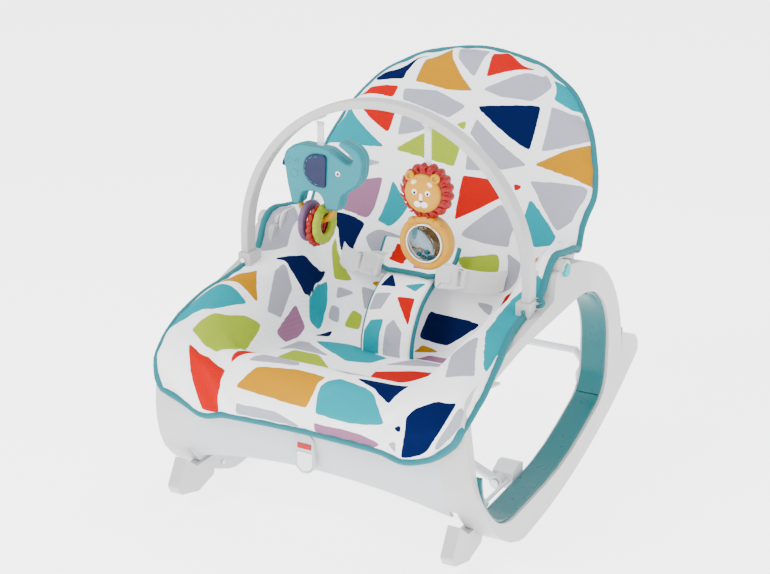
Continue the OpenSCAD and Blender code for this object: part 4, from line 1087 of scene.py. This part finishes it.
def make_lion():
    body = "lion"
    mane_z, ring_z = TOY_TOP - 0.036, TOY_TOP - 0.101
    half = MANE_T / 2
    front = BAR_Y - half

    def button(name, place, radius, height, rim, material, *shape):
        return dome(name, place, FRONT, radius, height, rim, material, body, *shape)

    profile = [
        (0.0, -half), (0.026, -half), (0.031, 0.0025 - half), (0.0335, -0.004), (0.0335, 0.003),
        (0.0315, half - 0.0035), (0.028, half - 0.001), (0.0, half - 0.0008),
    ]
    mane = turned_ring("lion_mane_moulded", (LION_X, BAR_Y, mane_z), FRONT, profile, "red_toy", body, 17, 0.0042, 204)
    modifier(mane, "SUBSURF", levels=1, render_levels=1)
    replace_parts(mane, "lion_mane")
    locks = []
    for turn in circle(17):
        path, radii = [], []
        for t in range(7):
            reach = 0.0255 + 0.0013 * t
            bend = turn + 0.10 * math.sin(t / 6 * math.pi)
            out = front + 0.0002 + 0.0005 * t * t / 6
            path.append((LION_X + reach * math.cos(bend), out, mane_z + reach * math.sin(bend)))
            radii.append(0.0006 + 0.0009 * math.sin((t + 0.5) / 7 * math.pi))
        locks.append(tube("lock", path, radii, "red_toy", body, sides=8))
    joined("lion_locks", locks)

    cx, cz = LION_X - 0.001, mane_z - 0.001
    skull = (cx, front + 0.001, cz)
    face = button("lion_face_moulded", skull, LION_FACE_R, LION_FACE_H, 0.001, "mustard_toy", 3.0, 96, 16)
    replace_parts(face, "lion_face")
    ears = []
    for side in (-1, 1):
        x, y, z = cx + side * 0.017, front - 0.0015, cz + 0.0205
        section = soft_section(0.0026, 0.0062, 0.0050, 0.0017)
        ears.append(turned_ring("ear", (x, y, z), FRONT, section, "mustard_toy", body, count=40))
        ears.append(button("ear_inside", (x, y + 0.0005, z), 0.0030, 0.0010, 0.001, "mustard_toy"))
    joined("lion_ears", ears)

    def on_face(x, z, lift=0.0):
        """A place on the domed face, x and z from its middle."""
        reach = min(0.999, math.hypot(x, z) / LION_FACE_R)
        return (cx + x, front + 0.001 - LION_FACE_H * (1 - reach ** 3) ** (1 / 3) - lift, cz + z)

    for name, material, sink, height, rim, power, spots in (
        ("lion_muzzle", "white_toy", 0.0004, 0.0012, 0.0012, 2.6, (
            (-0.0045, -0.0125, 0.0048, 0.85), (0.0045, -0.0125, 0.0048, 0.85), (0.0, -0.0045, 0.0024, 2.6),
            (-0.0088, 0.0022, 0.0036, 1.0), (0.0088, 0.0022, 0.0036, 1.0),
        )),
        ("lion_patches", "patch_toy", 0.0005, 0.0007, 0.0014, 3.0, (
            (-0.0095, 0.0135, 0.0046, 0.8), (0.0105, 0.0125, 0.0040, 0.9),
        )),
    ):
        joined(name, [
            button(name, on_face(x, z, -sink), radius, height, rim, material, power, 40, 8, squeeze)
            for x, z, radius, squeeze in spots
        ])
    joined("lion_pupils", [
        button("pupil", on_face(x, 0.0016, 0.0004), 0.0019, 0.0009, 0.0008, "black_toy") for x in (-0.0084, 0.0092)
    ])
    button("lion_nose", on_face(0, -0.0085, 0.0001), 0.0024, 0.0012, 0.0008, "red_toy", 2.0, 64, 12, 0.75)

    section = soft_section(0.0243, 0.0348, 0.020, 0.0052, 8)
    parts = [turned_ring("lion_ring_moulded", (LION_X, BAR_Y, ring_z), FRONT, section, "mustard_toy", body)]
    toes = ((0, 0, 0.0056), (-0.0050, -0.0036, 0.0030), (0.0, -0.0060, 0.0030), (0.0050, -0.0036, 0.0030))
    for side in (-1, 1):
        for dx, dz, r in toes:
            place = (LION_X + side * 0.0165 + dx, BAR_Y - 0.0085, ring_z + 0.0265 + dz)
            parts.append(button("paw", place, r, r * 0.75, 0.003, "mustard_toy", 2.0, 28, 8))
    for k in range(9):
        turn = math.radians(-160 + 17.5 * k)
        place = (LION_X + 0.0305 * math.cos(turn), BAR_Y - 0.0096, ring_z + 0.0305 * math.sin(turn))
        parts.append(button("bead_mark", place, 0.0016, 0.0008, 0.001, "mustard_toy", 2.0, 16, 4))
    ring = joined("lion_ring_moulded", parts)
    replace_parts(ring, "lion_ring")
    button("rattle_dish", (LION_X, BAR_Y + 0.0085, ring_z), 0.0241, 0.0022, 0.0012, "picture", 4.0, 64, 10)
    lens = button("rattle_lens", (LION_X, BAR_Y - 0.007, ring_z), 0.0238, 0.0082, 0.0008, "clear", 2.0, 64, 14)
    modifier(lens, "SOLIDIFY", thickness=0.0012, offset=-1)
    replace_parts(lens, "rattle_window")
    section = soft_section(0.0226, 0.0246, 0.0030, 0.0009)
    turned_ring("rattle_bezel", (LION_X, BAR_Y - 0.0085, ring_z), FRONT, section, "white_toy", body)


def hanging_strap(node, name, x, body):
    """A woven strap that turns on a rolled end under the toy bar and hangs down to the toy."""
    low, high = (Vector(corner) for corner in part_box(node))
    width, thickness = 0.009, 0.0018
    top = high.z - 0.0012
    roll = [(0.0013 * math.sin(t), top - 0.0011 + 0.0013 * math.cos(t)) for t in np.linspace(-2.6, 2.6, 14)]
    drop = [(0.0004 * math.sin(k * 0.9), top - 0.0030 - (top - low.z - 0.006) * k / 60) for k in range(61)]
    parts = []
    for points in (roll, drop):
        rings = []
        for i, (y, z) in enumerate(points):
            ahead = Vector(points[min(i + 1, len(points) - 1)]) - Vector(points[max(i - 1, 0)])
            away = Vector((-ahead.y, ahead.x)).normalized() * thickness / 2
            half = width / 2 + 0.00025 * math.sin(i * 2.1)
            rings.append([
                (x + across * half, BAR_Y + y + away.x * out, z + away.y * out)
                for across, out in ((-1, -1), (-1, 1), (1, 1), (1, -1))
            ])
        parts.append(band(name + "_part", rings, "webbing", body))
    piece = bevelled(joined(name, parts), 0.0004, 2, 40)
    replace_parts(piece, node)


make_elephant()
make_teethers()
make_lion()
hanging_strap("elephant_strap", "elephant_tape", ELEPHANT_X, "elephant_hanger")
hanging_strap("lion_strap", "lion_tape", LION_X, "lion_hanger")


# ---------------------------------------------------------------- restraint

# Side view of the crotch pad's front, from the seat up to the belt, as (Y, Z) in millimetres
CROTCH_LINE = [(-50, 165), (-52, 180), (-48, 199), (-38, 219), (-22, 238), (-2, 251), (18, 259), (34, 262)]
CROTCH_HALF, CROTCH_T = 35.0, 11.0
CROTCH_PRINT = [
    (TEAL, [(-31, 0.2), (-31, 3.6), (-24, 5), (-7, 5.4), (-8, 0.3)]),
    (GREY, [(-2, 0.3), (-1, 4.6), (7, 5.6), (22, 4.2), (23, 0.3)]),
    (RED, [(1, 8.6), (26, 8.8), (29, 5)]),
    (GREY, [(-31, 6.2), (-30, 8.6), (-8, 9), (-14, 6.6)]),
    (TEAL, [(3, 10.4), (30, 11.6), (22, 9.8)]),
    (NAVY, [(-29, 9.8), (-22, 12.2), (-6, 10)]),
    (LIME, [(0, 12.6), (6, 13.6), (31, 13.4), (28, 12.2)]),
]
FLAP_PRINT = [
    (RED, [(-34, 1.4), (-33, 4), (-4, 4), (-12, 0.9)]),
    (LILAC, [(2, 0.6), (6, 1.8), (34, 2.6), (24, 0.7)]),
]


def strip_grid(line, half_at, crown, across=25):
    """A strip that follows a side view line: a grid in metres, its chart (mm across, cm along), its normals."""
    path = smooth_path([(0, y, z) for y, z in line])
    away = [0.0]
    for a, b in zip(path, path[1:]):
        away.append(away[-1] + (b - a).length)
    shares = np.linspace(-1, 1, across)
    grid = np.zeros((len(path), across, 3))
    chart = np.zeros((len(path), across, 2))
    for i, point in enumerate(path):
        half = half_at(away[i] / away[-1])
        grid[i] = [(share * half, point.y, point.z) for share in shares]
        chart[i] = [(share * half, away[i] / 10) for share in shares]
    normal = grid_normals(grid)
    grid = grid + normal * (crown * (1 - shares ** 4))[None, :, None]
    return grid * MM, chart, normal


def padded_strip(name, line, half_at, thickness, patches, crown):
    """A padded strip with print on its outer face: returns it, its two side lines, its grid and its normals."""
    grid, chart, normal = strip_grid(line, half_at, crown)
    depth = np.full(grid.shape[:2], thickness * MM)
    pad, grid = printed_pad(name, grid, normal, depth, chart, patches, 3.0, 0.003, 0.01)
    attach(pad, "base")
    sides = [
        [Vector(p - n * thickness * MM * 0.35) for p, n in zip(grid[:, edge], normal[:, edge])] for edge in (0, -1)
    ]
    return pad, sides, grid, normal


def make_crotch_pad():
    pad, sides, _, _ = padded_strip(
        "crotch_pad_cloth", CROTCH_LINE, lambda share: CROTCH_HALF, CROTCH_T, CROTCH_PRINT, 2.0
    )
    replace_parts(pad, "crotch_pad")
    for side, path in zip(("left", "right"), sides):
        tube("crotch_piping_" + side, path, 0.0037, "piping", "base", sides=12)


# Side view of the waist flap behind the crotch pad, from its rounded lower end up
FLAP_LINE = [(12, 268), (24, 272), (38, 281), (50, 296)]


def flap_half(share):
    """Half width of the flap in millimetres, rounded towards its lower end."""
    turn = max(0.0, 1 - share / 0.7)
    return 26 + 28 * math.sqrt(1 - turn * turn)


def make_waist_flap():
    _, (left, right), grid, normal = padded_strip("waist_flap", FLAP_LINE, flap_half, 7.0, FLAP_PRINT, 1.0)
    lower = [Vector(p - n * 0.0025) for p, n in zip(grid[0], normal[0])]
    tube("flap_piping", left[::-1] + lower[1:-1] + right, 0.0036, "piping", "base", sides=12)


def make_belts():
    """Waist straps with a buckle half on each side of the crotch pad."""
    strap_parts, buckle_parts = [], []
    shell = rounded([(-20, -15, 5), (6, -15, 3), (20, -12, 3), (20, 12, 3), (6, 15, 3), (-20, 15, 5)])
    grip = rounded([(-14, -7, 3), (1, -7, 3), (1, 7, 3), (-14, 7, 3)])
    slot = [(x * MM, z * MM) for x, z in ((9, -10), (13, -10), (13, 10), (9, 10))]
    for side in (-1, 1):
        path = smooth_path([
            (side * 0.030, 0.030, 0.266), (side * 0.055, 0.020, 0.268), (side * 0.080, 0.022, 0.264),
            (side * 0.104, 0.036, 0.260), (side * 0.120, 0.052, 0.262),
        ])
        rings = []
        for i, point in enumerate(path):
            lean = 0.001 * math.sin(i * 0.33)
            rings.append([
                point + Vector((0, out + z * 0.55 + lean, z))
                for z, out in ((-0.0125, -0.001), (-0.0125, 0.001), (0.0125, 0.001), (0.0125, -0.001))
            ])
        strap_parts.append(bevelled(band("belt_part", rings, "webbing", "base"), 0.0005, 2, 40))
        turn = Matrix.Rotation(math.radians(side * 14), 3, "Z") @ Matrix.Rotation(math.radians(-20), 3, "X")
        centre = Vector((side * 0.060, 0.016, 0.266))

        def place(a, b, c):
            return centre + turn @ Vector((side * a, 0.005 - c, b))

        def raised_place(a, b, c):
            return place(a, b, c + 0.0102)

        half = plate("buckle_part", shell, 0.0105, place, "buckle", "base", [slot])
        raised = plate("buckle_grip", grip, 0.0015, raised_place, "buckle", "base")
        buckle_parts += [bevelled(half, 0.0022, 3, 30), bevelled(raised, 0.0007, 2, 30)]
    straps = joined("waist_straps", strap_parts)
    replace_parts(straps, "waist_belts")
    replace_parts(joined("waist_buckles", buckle_parts), "belt_buckles")


def make_bow():
    """Small tie at the lower end of the back's piping on the right."""
    knot = Vector((0.2005, -0.047, 0.2775))
    parts = [dome("knot", knot, (0.5, -0.6, 0.6), 0.0045, 0.0035, 0.003, "piping", "base", count=24, rings=8)]
    paths = []
    for dx, dz in ((1, 0.5), (-1, 0.3)):
        loop = []
        for t in circle(20) + [2 * math.pi]:
            open_by = (1 - math.cos(t)) / 2
            loop.append(knot + Vector(
                (dx * 0.0154 * open_by, -0.004 * math.sin(t / 2), dz * 0.008 * open_by + 0.004 * math.sin(t))
            ))
        paths.append(loop)
    for dx in (0.6, -0.5):
        middle, end = Vector((dx * 0.006, -0.004, -0.007)), Vector((dx * 0.012, -0.002, -0.016))
        paths.append(smooth_path([knot, knot + middle, knot + end], 5))
    parts += [tube("bow_tape", path, 0.0013, "piping", "base", sides=8, flatten=1.8) for path in paths]
    joined("piping_bow", parts)


make_crotch_pad()
make_waist_flap()
make_belts()
make_bow()

# ---------------------------------------------------------------- moulded parts with rounded edges

# CAD nodes that get rounded edges: node, material, width of the rounding in millimetres, body. A * stands for the
# right part and then the left one.
SOFTENED = [
    ("rail_shell_*", "rail", 2.8, "base"), ("rail_cover_*", "panel", 0.6, "base"),
    ("rail_liner_*", "liner", 1.0, "base"), ("rear_bumpers", "bumper", 1.2, "base"),
    ("front_foot_*", "rail", 2.2, "base"), ("front_panel", "panel", 1.0, "base"),
    ("soother_case", "inner", 1.2, "base"), ("label_plate", "label", 0.3, "base"),
    ("power_button", "button", 1.0, "power_key"), ("seat_pan", "inner", 1.2, "base"),
    ("front_stretcher", "steel", 1.0, "base"), ("stretcher_brackets", "dark_white", 1.0, "base"),
    ("stretcher_bolts", "bolt", 0.6, "base"), ("kickstand_hubs", "dark_white", 1.6, "kickstand"),
    ("kickstand_feet", "rubber", 1.6, "kickstand"), ("kickstand_pins", "bolt", 0.5, "base"),
    ("pivot_housing_*", "rail", 2.2, "base"), ("recline_button_*", "bumper", 1.0, "recline_key_*"),
    ("back_arm_*", "dark_white", 1.0, "seat_back"), ("toy_bar_socket_*", "rail", 2.6, "base"),
    ("toy_bar_arch", "rail", 1.8, "toy_bar"), ("strap_anchors", "webbing", 0.5, "toy_bar"),
    ("toy_bar_screws", "bolt", 0.4, "base"), ("battery_door", "inner", 0.8, "battery_hatch"),
]


def soften_moulded_parts():
    for node, material, width, body in SOFTENED:
        for side in ("right", "left") if "*" in node else ("",):
            softened(node.replace("*", side), material, width * MM, body.replace("*", side))


soften_moulded_parts()

# ---------------------------------------------------------------- materials of the plain CAD nodes

PLAIN_NODES = {
    "bolt": ["rail_screws", "motor_weight", "vibration_motor"],
    "steel": ["kickstand_tube", "back_frame_tube", "back_cross_tube"],
    "navy_toy": ["battery_cell"],
    "aqua_toy": ["rattle_beads"],
}


def dress_cad_nodes():
    for material, names in PLAIN_NODES.items():
        for name in names:
            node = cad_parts[name]
            for slot in node.material_slots:
                slot.material = M[material]


dress_cad_nodes()
